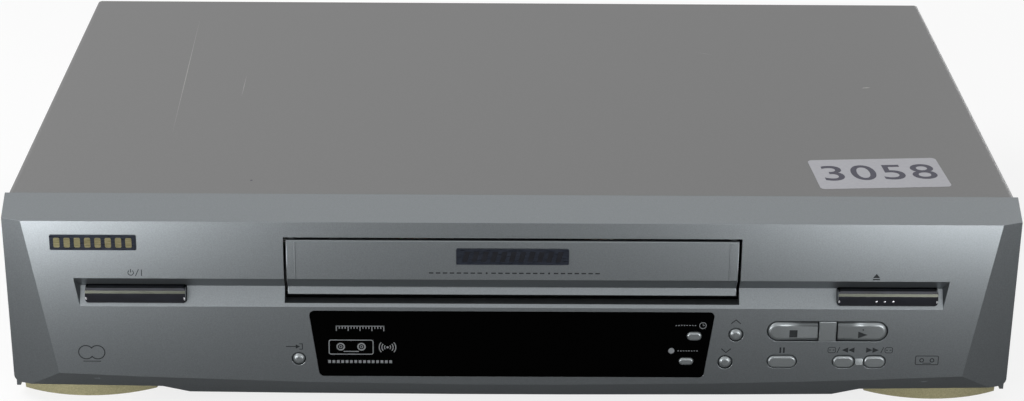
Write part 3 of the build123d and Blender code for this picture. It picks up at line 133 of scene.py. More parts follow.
def shade(hex_colour, factor):
    """The same hex colour, lighter or darker by a factor of its sRGB value."""
    parts = [min(255, round(int(hex_colour.lstrip("#")[i:i + 2], 16) * factor)) for i in (0, 2, 4)]
    return "#%02X%02X%02X" % tuple(parts)


def add_finish(name, colour, roughness, metallic=0.0, sockets=(), spots=1.0, stretch=(1, 1, 1),
               detail=2.0, tones=None, span=None, relief=None):
    """A finish that varies in soft spots. Spots and relief are in millimetres; the two tones are
    hex colours, or factors of its own colour; span is the range of its roughness."""
    tree, shader, place = start_finish(name, colour, roughness, metallic, sockets)
    if tones and not isinstance(tones[0], str):
        tones = [shade(colour, factor) for factor in tones]
    vary(tree, shader, grain(tree, place, spots * MM, stretch, detail), tones, span,
         relief and relief * MM)


def painted_and_lacquered_finishes(colours):
    """The casing's own finishes, whose colours the user may change."""
    # Satin enamel on sheet steel: an even neutral grey with a very fine orange peel.
    add_finish("satin_enamelled_steel", colours.cover, 0.5, sockets={"Specular IOR Level": 0.35},
               spots=0.9, tones=(0.965, 1.03), span=(0.46, 0.56), relief=0.012)

    # Metallic lacquer on moulded ABS: aluminium flake gives a soft sheen that follows the lamps.
    # Flake is finer than a tenth of a millimetre and is drawn at half a millimetre to show.
    add_finish("metallic_lacquered_abs", colours.face, 0.39, 0.88, spots=0.5, tones=(0.96, 1.04),
               span=(0.37, 0.41), relief=0.003)

    # The same lacquer on the small keys, a little lighter and smoother.
    add_finish("silver_lacquered_keys", colours.keys, 0.36, 0.85, spots=0.5, tones=(0.98, 1.02),
               span=(0.35, 0.38))

    # Champagne lacquer on the moulded front feet: warm, with a soft metallic sheen.
    add_finish("champagne_lacquered_feet", colours.feet, 0.4, 0.45, spots=0.6, tones=(0.93, 1.05),
               span=(0.36, 0.46), relief=0.004)


def moulded_finishes():
    """Plastics, rubber and foam."""
    # Smoked black acrylic: a deep gloss with almost nothing to be seen behind it.
    add_finish("smoked_black_acrylic", "#020202", 0.08, sockets={"Specular IOR Level": 0.015},
               spots=14, span=(0.06, 0.1))

    # Smoked chrome plating on moulded keys: dark blue-violet mirror, slightly wavy from moulding.
    add_finish("smoked_chrome_plating", "#202129", 0.2, 0.7, {"Coat Weight": 1.0, "Coat Roughness": 0.08},
               spots=7, stretch=(1, 1, 2.5), tones=("#1B1C25", "#272A35"), span=(0.1, 0.2), relief=0.03)

    # Open-cell foam, black, matt and porous, of the block in the cassette slot whose dark colour paints the
    # shade inside.
    add_finish("seal_foam", "#121212", 0.9, spots=0.6, tones=("#0C0C0C", "#1B1B1B"),
               span=(0.85, 0.95), relief=0.1)

    # Plain moulded black plastic, with the fine spark grain of its mould.
    add_finish("spark_grained_black_abs", "#1C1C1D", 0.5, spots=0.7, tones=("#171718", "#212123"),
               span=(0.42, 0.58), relief=0.02)

    # Moulded rubber: matt, with a powdery bloom.
    add_finish("moulded_rubber", "#232323", 0.8, spots=1.2, tones=("#1E1E1E", "#2B2B2A"),
               span=(0.74, 0.9), relief=0.02)

    # Ground belt rubber: darker, with the cross lines of grinding.
    add_finish("ground_belt_rubber", "#191919", 0.6, spots=0.8, stretch=(1, 1, 0.2),
               tones=("#141414", "#222222"), span=(0.52, 0.7), relief=0.02)

    # White acetal and nylon mouldings: waxy, and slightly translucent at the edges.
    add_finish("moulded_white_acetal", "#D9D6C8", 0.42, spots=5, tones=("#D2CFC0", "#E0DDD0"),
               sockets={"Subsurface Weight": 0.08, "Subsurface Scale": 0.002}, span=(0.36, 0.48))


def circuit_laminate():
    """Green solder resist over copper tracks on glass laminate: straight tracks on the board's grid,
    each cell's along one side or the other, and a tinned round pad in every third cell or so."""
    tree, shader, place = start_finish("green_circuit_laminate", "#2E6A3C", 0.34)
    grid = add_node(tree, "VectorMath", {"operation": "SCALE", "Scale": 1 / (PITCH * MM)}, {0: place})
    cell = add_node(tree, "VectorMath", {"operation": "FLOOR"}, {0: grid.outputs[0]})
    chance = add_node(tree, "TexWhiteNoise", {"noise_dimensions": "2D"}, {"Vector": cell.outputs[0]})
    within = add_node(tree, "VectorMath", {"operation": "FRACTION"}, {0: grid.outputs[0]})
    offset = add_node(tree, "VectorMath", {"operation": "SUBTRACT", 1: (0.5, 0.5, 0.5)},
                      {0: within.outputs[0]})
    sides = add_node(tree, "SeparateXYZ", links={0: offset.outputs[0]})
    along = add_node(tree, "Math", {"operation": "GREATER_THAN", 1: 0.45},
                     {0: chance.outputs["Value"]})
    across = add_node(tree, "Mix", {}, {0: along.outputs[0], 2: sides.outputs[0], 3: sides.outputs[1]})
    gap = add_node(tree, "Math", {"operation": "ABSOLUTE"}, {0: across.outputs[0]})
    track = add_node(tree, "Math", {"operation": "LESS_THAN", 1: 0.17}, {0: gap.outputs[0]})
    flat = add_node(tree, "VectorMath", {"operation": "MULTIPLY", 1: (1, 1, 0)}, {0: offset.outputs[0]})
    reach = add_node(tree, "VectorMath", {"operation": "LENGTH"}, {0: flat.outputs[0]})
    chosen = add_node(tree, "Math", {"operation": "MULTIPLY_ADD", 1: 0.42, 2: -0.12},
                      {0: chance.outputs["Value"]})
    pad = add_node(tree, "Math", {"operation": "LESS_THAN"},
                   {0: reach.outputs["Value"], 1: chosen.outputs[0]})
    vary(tree, shader, track.outputs[0], ("#235A31", "#3C8549"), (0.28, 0.38), 0.03 * MM)
    resist = shader.inputs["Base Color"].links[0].from_socket
    tinned = add_node(tree, "Mix", {"data_type": "RGBA", 7: linear("#B9BAB4")},
                      {0: pad.outputs[0], 6: resist})
    tree.links.new(tinned.outputs[2], shader.inputs["Base Color"])
    tree.links.new(pad.outputs[0], shader.inputs["Metallic"])


def small_part_finishes():
    """Glass, sleeves and tape of the parts inside, inks, worn paint, foil, paper and insulators."""
    # Display tube glass: a grey-green envelope over dark electrodes.
    add_finish("display_tube_glass", "#4A5B58", 0.06, spots=3, stretch=(1, 1, 4),
               sockets={"Coat Weight": 1.0, "Coat Roughness": 0.03}, tones=("#3B4A48", "#566966"))

    # Shrunk PVC sleeve of the capacitors: dark blue, glossy, drawn tight.
    add_finish("shrunk_pvc_sleeve", "#1E2A46", 0.3, spots=9, stretch=(1, 1, 0.3),
               tones=("#1A2540", "#25324F"), span=(0.24, 0.36))

    # Polyester tape wound over the transformer's coil: amber, glossy, in overlapping turns.
    add_finish("wound_polyester_tape", "#A87B26", 0.24, spots=4, stretch=(0.1, 0.1, 1),
               tones=("#96691B", "#B98B33"), span=(0.2, 0.32), relief=0.08)

    # Screen-printing ink, dark on the lacquer and pale on the window: matt and a little uneven.
    for name, colour, worn in (("dark_screen_ink", "#1E2123", "#2A2D2F"),
                               ("pale_screen_ink", "#7C7F82", "#6E7174"),
                               ("label_ink", "#4A4955", "#5A5964")):
        add_finish(name, colour, 0.6, sockets={"Specular IOR Level": 0.2}, spots=0.8,
                   tones=(colour, worn), span=(0.55, 0.7))

    # Enamel rubbed by other things that stood on the cover: a little lighter and glossier.
    add_finish("rubbed_enamel", "#8E8E8B", 0.36, spots=6, tones=("#848482", "#969693"), span=(0.3, 0.44))

    # Pale primer where the enamel has chipped away.
    add_finish("chipped_primer", "#A5A5A2", 0.7, spots=0.8, tones=("#9B9B98", "#AFAFAC"), span=(0.65, 0.8))

    # Silvered polyester foil of the rating plate.
    add_finish("satin_rating_foil", "#B9BBBC", 0.4, 0.5, spots=0.5, stretch=(0.1, 1, 1),
               tones=("#B1B3B4", "#C1C3C4"), span=(0.36, 0.46))

    # Uncoated label paper: soft white with faint fibre clouds.
    add_finish("uncoated_label_paper", "#BABAC0", 0.85, spots=2.2, stretch=(1, 2, 1), detail=6.0,
               tones=("#B6B6BC", "#C0C0C5"), span=(0.8, 0.92), relief=0.01)

    # Insulators: red and white mark the sound sockets, and white serves the aerial ones too.
    for name, colour in (("red_socket_insulator", "#A3201C"), ("white_socket_insulator", "#D8D8D2")):
        add_finish(name, colour, 0.35, spots=2, tones=(0.95, 1.04), span=(0.3, 0.42))


def metal_finishes():
    """Bare and plated metals."""
    # Zinc-plated sheet steel: cool grey with faint spangle, a few millimetres across.
    tree, shader, place = start_finish("zinc_plated_sheet", "#A9ACAE", 0.38, 0.9)
    spangle = add_node(tree, "TexVoronoi", {"Scale": 1 / (5 * MM)}, {"Vector": place})
    parts = add_node(tree, "SeparateColor", links={"Color": spangle.outputs["Color"]})
    vary(tree, shader, parts.outputs["Red"], ("#A0A4A6", "#B4B7B8"), (0.32, 0.44))

    # Nickel plating of screws, sound sockets and mains pins: bright, with light marks of use.
    add_finish("nickel_plated_screws", "#B9B8B2", 0.24, 1.0, spots=0.6, tones=("#A9A8A2", "#C4C3BD"),
               span=(0.18, 0.34), relief=0.01)

    # Gold anodised metal of the badge's ribs.
    add_finish("gold_anodised_plate", "#938C68", 0.34, 0.9, spots=0.4, stretch=(0.15, 1, 1),
               tones=("#857E5B", "#A29B78"), span=(0.28, 0.4), relief=0.004)

    # Dark pressed aluminium of the badges, with a brushed face.
    add_finish("black_anodised_plate", "#2B2F38", 0.32, 0.6, spots=0.4, stretch=(0.12, 1, 1),
               tones=("#232730", "#363B47"), span=(0.26, 0.4))

    # Bright chrome of the door badge's rim.
    add_finish("bright_chrome_rim", "#C9CBD2", 0.16, 1.0, spots=2, span=(0.1, 0.22))

    # Stripe and studs of the long keys, in finishes brighter than the key itself: the stripe is a painted
    # reflection of the horizon, the studs paint the lamps' glints.
    for name, colour, roughness in (("bright_key_line", "#53554D", 0.3), ("bright_key_stud", "#F2F2F6", 0.2)):
        add_finish(name, colour, roughness, 0.7, spots=1.5, stretch=(0.2, 1, 1), tones=(0.95, 1.03),
                   span=(roughness, roughness + 0.08))

    # Turned and polished aluminium: fine rings around the drum's upright axis.
    add_finish("turned_aluminium", "#C3C5C8", 0.26, 1.0, spots=0.5, stretch=(0.02, 0.02, 1),
               tones=("#B6B8BC", "#CFD1D3"), span=(0.2, 0.32), relief=0.004)

    # Ground bright steel: shafts, springs, shells of sockets and motor parts.
    add_finish("ground_bright_steel", "#B7B8BB", 0.22, 1.0, spots=0.5, stretch=(1, 1, 0.2),
               tones=("#A9AAAE", "#C3C4C6"), span=(0.17, 0.3), relief=0.004)

    # Sintered bronze of the bearings: warm, porous and oiled.
    add_finish("sintered_bronze", "#A88A5C", 0.42, 0.9, spots=0.4, tones=("#957848", "#B79A6C"),
               span=(0.34, 0.52), relief=0.02)

    # Varnished core laminations: dark, with the half-millimetre lines of the stack.
    add_finish("varnished_laminations", "#2F2D2B", 0.35, 0.35, spots=1.0, stretch=(0.02, 0.02, 1),
               tones=("#262422", "#44403B"), span=(0.28, 0.46), relief=0.05)

    # Tin-plated screening cans: soft grey, faintly cloudy.
    add_finish("tin_plated_can", "#B5B6B3", 0.34, 0.95, spots=8, detail=5.0, tones=("#A9AAA7", "#BFC0BD"),
               span=(0.27, 0.42))

    # Gold flash on contacts.
    add_finish("gold_flashed_contact", "#CDAF62", 0.25, 1.0, spots=0.5, span=(0.2, 0.3))


SLOT_FINISHES = {
    "cover_enamel": "satin_enamelled_steel",
    "front_lacquer": "metallic_lacquered_abs",
    "window_acrylic": "smoked_black_acrylic",
    "smoked_chrome": "smoked_chrome_plating",
    "key_lacquer": "silver_lacquered_keys",
    "badge_gold": "gold_anodised_plate",
    "badge_dark": "black_anodised_plate",
    "foot_gold": "champagne_lacquered_feet",
    "foot_rubber": "moulded_rubber",
    "zinc_steel": "zinc_plated_sheet",
    "screw_steel": "nickel_plated_screws",
    "board_laminate": "green_circuit_laminate",
    "black_plastic": "spark_grained_black_abs",
    "nylon": "moulded_white_acetal",
    "drum_aluminium": "turned_aluminium",
    "bright_steel": "ground_bright_steel",
    "bearing_brass": "sintered_bronze",
    "belt_rubber": "ground_belt_rubber",
    "tube_glass": "display_tube_glass",
    "iron_core": "varnished_laminations",
    "capacitor_sleeve": "shrunk_pvc_sleeve",
    "tin_plate": "tin_plated_can",
}


# ---------------------------------------------------------------- flat shapes and pieces

def bar(form, x, y, width, height, turn=0.0, corner=0.0):
    """A flat rectangle, turned by degrees, with rounded corners if asked."""
    place = Matrix.Translation((x, y, 0)) @ Matrix.Rotation(radians(turn), 4, "Z")
    made = bmesh.ops.create_grid(form, x_segments=1, y_segments=1, size=0.5,
                                 matrix=place @ Matrix.Diagonal((width, height, 1, 1)))
    if corner:
        bmesh.ops.bevel(form, geom=made["verts"], offset=corner, offset_type="OFFSET", segments=4,
                        profile=0.5, affect="VERTICES", material=-1)


def disc(form, x, y, radius, segments=32):
    """A flat disc."""
    bmesh.ops.create_circle(form, cap_ends=True, radius=radius, segments=segments,
                            matrix=Matrix.Translation((x, y, 0)))


def arc(form, x, y, inner, outer, start=0.0, sweep=360.0):
    """A flat ring, or a part of one, from start by sweep degrees."""
    turn = Matrix.Translation((x, y, 0)) @ Matrix.Rotation(radians(start), 4, "Z")
    ends = [form.verts.new(turn @ Vector((radius, 0, 0))) for radius in (inner, outer)]
    full = sweep == 360.0
    bmesh.ops.spin(form, geom=ends + [form.edges.new(ends)], cent=(x, y, 0), axis=(0, 0, 1),
                   angle=radians(sweep), steps=round(sweep / 9), use_merge=full)


def polygon(form, *corners):
    """A flat form with the given corners, counter-clockwise."""
    form.faces.new([form.verts.new((x, y, 0)) for x, y in corners])


def leave_rim(form, faces, line):
    """Leaves only a line along the edge of the given faces."""
    bmesh.ops.inset_region(form, faces=faces, thickness=line, use_even_offset=True, use_boundary=True)
    bmesh.ops.delete(form, geom=faces, context="FACES")


def outline(form, x, y, width, height, line, corner):
    """A rectangular line with rounded corners."""
    before = set(form.faces)
    bar(form, x, y, width, height, corner=corner)
    leave_rim(form, [face for face in form.faces if face not in before], line)


def box(form, low, high):
    """A closed box between two corners."""
    low, high = Vector(low), Vector(high)
    size = Matrix.Diagonal((*(high - low), 1))
    bmesh.ops.create_cube(form, size=1, matrix=Matrix.Translation((low + high) / 2) @ size)


def thicken(form, depth):
    """Gives all flat faces a depth below their plane, and closes it."""
    bmesh.ops.recalc_face_normals(form, faces=form.faces)
    for face in form.faces:
        if face.normal.z < 0:
            face.normal_flip()
    made = bmesh.ops.extrude_face_region(form, geom=list(form.faces), use_keep_orig=True)
    lower = [part for part in made["geom"] if isinstance(part, bmesh.types.BMVert)]
    bmesh.ops.translate(form, verts=lower, vec=(0, 0, -depth))


def add_piece(form, name, body, finish, slot=None, replaces=(), place=Matrix.Identity(4)):
    """Makes a finished piece of a form: placed in its mesh, smooth, and riding on its body."""
    bmesh.ops.remove_doubles(form, verts=form.verts, dist=1e-6)
    bmesh.ops.transform(form, matrix=place, verts=form.verts)
    bmesh.ops.recalc_face_normals(form, faces=form.faces)
    mesh = bpy.data.meshes.new(name)
    form.to_mesh(mesh)
    form.free()
    mesh.shade_smooth()
    mesh.set_sharp_from_angle(angle=SMOOTH_ANGLE)
    mesh.materials.append(bpy.data.materials[finish])
    piece = bpy.data.objects.new(name, mesh)
    bpy.context.scene.collection.objects.link(piece)
    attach(piece, body)
    if replaces:
        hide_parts(*replaces)
    return piece


def on_plane(facing, x, y, z):
    """The place of a plane drawn in millimetres whose middle is at x, y, z in metres."""
    return Matrix.Translation((x, y, z)) @ facing @ Matrix.Scale(MM, 4)


def draw_piece(strokes, depth, *names, **choices):
    """A piece drawn with strokes, each a shape's function and its numbers, and given a depth."""
    form = bmesh.new()
    for shape, *numbers in strokes:
        shape(form, *numbers)
    if depth:
        thicken(form, depth)
    return add_piece(form, *names, **choices)


def print_on(strokes, name, body, finish, slot, x, z, y=FRONT_Y, facing=FACING_FRONT):
    """Screen printing that strokes lay on an upright surface, at x and z in millimetres."""
    outward = (facing @ Vector((0, 0, 1))) * PRINT_PROUD * MM
    place = on_plane(facing, x * MM + outward.x, y + outward.y, z * MM + outward.z)
    return draw_piece(strokes, PRINT_SUNK + PRINT_PROUD, name, body, finish, slot, place=place)


def cad_copy(node):
    """A merged copy of a CAD node's mesh, ready to be softened at its edges."""
    form = bmesh.new()
    form.from_mesh(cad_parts[node].data)
    bmesh.ops.remove_doubles(form, verts=form.verts, dist=2e-6)
    bmesh.ops.dissolve_limit(form, angle_limit=radians(0.3), verts=form.verts, edges=form.edges)
    return form


def soften(form, width, angle=15.0, segments=2, rounded=()):
    """Rounds the sharp edges of a form by a small width, except those that are already rounded."""
    sharp = [edge for edge in form.edges if edge not in rounded and edge.is_manifold
             and edge.calc_face_angle(0) > radians(angle)]
    bmesh.ops.bevel(form, geom=sharp, offset=width, offset_type="OFFSET", segments=segments,
                    profile=0.5, affect="EDGES", clamp_overlap=True, material=-1)


def round_edges(form, edges, width):
    """Rounds chosen edges of a form, and gives the edges of the rounding."""
    made = bmesh.ops.bevel(form, geom=edges, offset=width, offset_type="OFFSET", segments=3,
                           profile=0.5, affect="EDGES", clamp_overlap=True, material=-1)
    return {edge for face in made["faces"] for edge in face.edges}


def pocket_mouths(form):
    """The edges of the small keys' pockets, which catch the light under each key."""
    margin = 2.0 * MM
    keys = [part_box(node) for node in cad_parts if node.endswith("_button")]
    keys.append(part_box("search_saddle"))

    def by_a_key(vert):
        return abs(vert.co.y - FRONT_Y) < 0.1 * MM and any(
            low.x - margin < vert.co.x < high.x + margin and low.z - margin < vert.co.z < high.z + margin
            for low, high in keys)
    return [edge for edge in form.edges if edge.is_manifold and all(map(by_a_key, edge.verts))
            and edge.calc_face_angle(0) > radians(45)]


def door_ends(form):
    """Edges of the door's front that start and end at its two ends; they catch the light there."""
    broad = 20 * MM ** 2
    reach = max(abs(vert.co.x) for face in form.faces for vert in face.verts
                if face.normal.y < -0.3 and face.calc_area() > broad)
    return [edge for edge in form.edges if edge.is_manifold and edge.calc_face_angle(0) > radians(45)
            and min(face.normal.y for face in edge.link_faces) < -0.3
            and all(abs(abs(vert.co.x) - reach) < 0.05 * MM for vert in edge.verts)]


def weigh_normals(piece):
    """Keeps the large faces flat to the eye beside their rounded edges."""
    piece.data.shade_smooth()
    weighed = piece.modifiers.new("weighted_normals", "WEIGHTED_NORMAL")
    weighed.mode = "FACE_AREA"
    weighed.weight = 100


def crown_front(piece):
    """Turns the normals of the upright front as its slight crown does, up and down and to the sides."""
    weigh_normals(piece)
    mesh = bpy.data.meshes.new_from_object(
        piece.evaluated_get(bpy.context.evaluated_depsgraph_get()))
    piece.modifiers.clear()
    middle = COVER_Z / 2
    half_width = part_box("front_panel")[1].x
    normals = []
    for corner, loop in zip(mesh.corner_normals, mesh.loops):
        normal = corner.vector.copy()
        if -normal.y > cos(CROWN_REACH):
            across, _, height = mesh.vertices[loop.vertex_index].co
            normal.rotate(Euler((-CROWN_TILT * (height - middle) / middle, 0,
                                 CROWN_BOW * across / half_width)))
        normals.append(normal)
    mesh.normals_split_custom_set(normals)
    piece.data = mesh


# ---------------------------------------------------------------- settings

class RecorderColours(bpy.types.PropertyGroup):
    """Colours of the casing, as sRGB hex."""
    cover: StringProperty(name="Cover", description="Enamel of the steel cover", default="#757575")
    face: StringProperty(name="Front", description="Lacquer of the front", default="#7C8184")
    keys: StringProperty(name="Keys", description="Lacquer of the small keys", default="#8A8F91")
    feet: StringProperty(name="Feet", description="Lacquer of the front feet", default="#B3AD89")
    floor: StringProperty(name="Floor", description="Plain floor under it", default="#7E7E7E")


class RecorderSizes(bpy.types.PropertyGroup):
    """Sizes of the pieces that the casing carries."""
    label_length: FloatProperty(name="Label length", description="Paper label on the cover",
                                default=57.0 * MM, unit="LENGTH")
    label_width: FloatProperty(name="Label width", description="Paper label on the cover",
                               default=33.3 * MM, unit="LENGTH")
    digit_height: FloatProperty(name="Digit height", description="Digits on the label",
                                default=24.0 * MM, unit="LENGTH")
    edge_softness: FloatProperty(name="Edge softness", description="Rounding of moulded edges",
                                 default=0.25 * MM, unit="LENGTH")


# ---------------------------------------------------------------- pieces

class RECORDER_OT_finishes(bpy.types.Operator):
    """Builds every finish and gives each CAD node the one of its slot"""
    bl_idname = "recorder.finishes"
    bl_label = "Finishes"

    def execute(self, context):
        painted_and_lacquered_finishes(context.scene.recorder_colours)
        moulded_finishes()
        circuit_laminate()
        small_part_finishes()
        metal_finishes()
        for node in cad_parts.values():
            for holder in node.material_slots:
                holder.material = bpy.data.materials[SLOT_FINISHES[holder.material.name.split(".")[0]]]
        return {"FINISHED"}


class RECORDER_OT_mouldings(bpy.types.Operator):
    """Front moulding, cassette door and feet, with softened edges"""
    bl_idname = "recorder.mouldings"
    bl_label = "Mouldings"

    def execute(self, context):
        softness = context.scene.recorder_sizes.edge_softness
        for node, name, body, slot, finish in (
                ("front_panel", "front_moulding", "casing", "front_lacquer", "metallic_lacquered_abs"),
                ("cassette_door", "door_flap", "door", "front_lacquer", "metallic_lacquered_abs"),
                ("transport_bridge", "key_bridge", "casing", "front_lacquer", "silver_lacquered_keys"),
                ("front_feet", "front_foot_pair", "casing", "foot_gold", "champagne_lacquered_feet")):
            form = cad_copy(node)
            chosen = {"front_panel": pocket_mouths, "cassette_door": door_ends}.get(node)
            rounded = round_edges(form, chosen(form), 2 * softness) if chosen else ()
            soften(form, softness, rounded=rounded)
            piece = add_piece(form, name, body, finish, slot, (node,))
            if slot == "front_lacquer":
                crown_front(piece)
            else:
                weigh_normals(piece)
        return {"FINISHED"}


class RECORDER_OT_keys(bpy.types.Operator):
    """Keys with smooth crowns, the two long ones with a lighter stripe of painted reflection and near-white
    studs of painted glints, and their saddle
    """
    bl_idname = "recorder.keys"
    bl_label = "Keys"

    def execute(self, context):
        for node in (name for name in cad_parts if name.endswith("_button")):
            if node not in ("power_button", "eject_button"):
                weigh_normals(add_piece(cad_copy(node), node.replace("button", "key"), node,
                                        "silver_lacquered_keys", "key_lacquer", (node,)))
        self.long_key("power_button", ())
        self.long_key("eject_button", (-4.9, -1.4, 2.1))

        form = cad_copy("search_saddle")
        low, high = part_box("search_saddle")
        for vert in form.verts:
            if vert.co.y < (low.y + high.y) / 2:
                vert.co.y += (vert.co.z - low.z) / (high.z - low.z) * (high.y - low.y) * 0.95
        add_piece(form, "search_key_saddle", "casing", "silver_lacquered_keys", "key_lacquer",
                  ("search_saddle",))
        return {"FINISHED"}

    def long_key(self, node, glint_stud_places):
        """A plated key with a painted reflection as a lighter stripe under its top edge, and near-white end
        facets and studs at its middle that paint glints.
        """
        low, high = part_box(node)
        middle = (low + high) / 2
        form = cad_copy(node)
        # The stripe is a painted reflection: a lighter finish on the key's face where the horizon would be
        # mirrored.
        painted_reflection_depths = (2.2, 1.0)
        stripe = [high.z - depth * MM for depth in painted_reflection_depths]
        for height in stripe:
            bmesh.ops.bisect_plane(form, geom=form.verts[:] + form.edges[:] + form.faces[:],
                                   plane_co=(0, 0, height), plane_no=(0, 0, 1))
        for face in form.faces:
            inside = stripe[0] < face.calc_center_median().z < stripe[1]
            face.material_index = int(inside and face.normal.y < -0.5)
        key = add_piece(form, node.replace("button", "key"), node, "smoked_chrome_plating",
                        "smoked_chrome", (node,))
        key.data.materials.append(bpy.data.materials["bright_key_line"])
        weigh_normals(key)

        # Near-white studs and end facets: painted glints of the lamps, set on small raised studs.
        end = (high.x - low.x) / 2 / MM - 1.7
        form = bmesh.new()
        for x, width, height in [(x, 0.6, 0.6) for x in glint_stud_places] + [(-end, 0.4, 0.9), (end, 0.4, 0.9)]:
            bmesh.ops.create_uvsphere(form, u_segments=16, v_segments=10, radius=1, matrix=(
                Matrix.Translation((x, 0, 0)) @ Matrix.Diagonal((width, height, 0.3, 1))))
        add_piece(form, node.replace("button", "key_studs"), node, "bright_key_stud", "smoked_chrome",
                  place=on_plane(FACING_FRONT, middle.x, low.y + 0.28 * MM, middle.z - 0.4 * MM))


class RECORDER_OT_screws(bpy.types.Operator):
    """Cover screws with rounded heads and cross recesses, each turned its own way"""
    bl_idname = "recorder.screws"
    bl_label = "Screws"

    def execute(self, context):
        reach, half_wide, deep, above = 1.9, 0.42, 0.75, 0.1
        least_radius, softness, turn_each = 3.1, 0.3, 37
        form = cad_copy("cover_screws")
        heads = [face for face in form.faces if face.calc_area() > pi * (least_radius * MM) ** 2]
        crosses = bmesh.new()
        for number, face in enumerate(heads):
            cross = bmesh.new()
            polygon(cross, *((x * cos(turn) - y * sin(turn), x * sin(turn) + y * cos(turn))
                             for turn in (quarter * pi / 2 for quarter in range(4))
                             for x, y in ((reach, -half_wide), (reach, half_wide), (half_wide, half_wide))))
            thicken(cross, deep + above)
            bmesh.ops.transform(cross, verts=cross.verts, matrix=(
                Matrix.Translation(face.calc_center_median() + face.normal * above * MM)
                @ face.normal.to_track_quat("Z", "Y").to_matrix().to_4x4()
                @ Matrix.Rotation(radians(turn_each * number), 4, "Z") @ Matrix.Scale(MM, 4)))
            bmesh.ops.recalc_face_normals(cross, faces=cross.faces)
            flat = bpy.data.meshes.new("cross")
            cross.to_mesh(flat)
            cross.free()
            crosses.from_mesh(flat)
        soften(form, softness * MM, angle=60)
        screws = add_piece(form, "cover_screw_set", "casing", "nickel_plated_screws", "screw_steel",
                           ("cover_screws",))
        cutter = bpy.data.objects.new("crosses", bpy.data.meshes.new("crosses"))
        crosses.to_mesh(cutter.data)
        crosses.free()
        context.scene.collection.objects.link(cutter)
        cut = screws.modifiers.new("crosses", "BOOLEAN")
        cut.object = cutter
        cut.operation = "DIFFERENCE"
        cut.solver = "EXACT"
        screws.data = bpy.data.meshes.new_from_object(
            screws.evaluated_get(context.evaluated_depsgraph_get()))
        screws.modifiers.clear()
        bpy.data.objects.remove(cutter)
        screws.data.set_sharp_from_angle(angle=SMOOTH_ANGLE)
        return {"FINISHED"}


class RECORDER_OT_slot_shade(bpy.types.Operator):
    """Black foam block on the upper edge of the front board, under the cassette door, that paints the shade
    inside the slot
    """
    bl_idname = "recorder.slot_seal"
    bl_label = "Slot seal"

    def execute(self, context):
        near, far, foot, clearance, softness = 0.9, 0.05, 22, 0.6, 0.2
        board_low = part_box("front_board")[0]
        brackets_low, brackets_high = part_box("carriage_brackets")
        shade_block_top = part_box("cassette_carriage")[0].z - clearance * MM
        form = bmesh.new()
        box(form, (brackets_low.x, board_low.y - near * MM, board_low.z + foot * MM),
            (brackets_high.x, board_low.y - far * MM, shade_block_top))
        soften(form, softness * MM)
        add_piece(form, "painted_shade_in_slot", "casing", "seal_foam", "black_plastic")
        return {"FINISHED"}


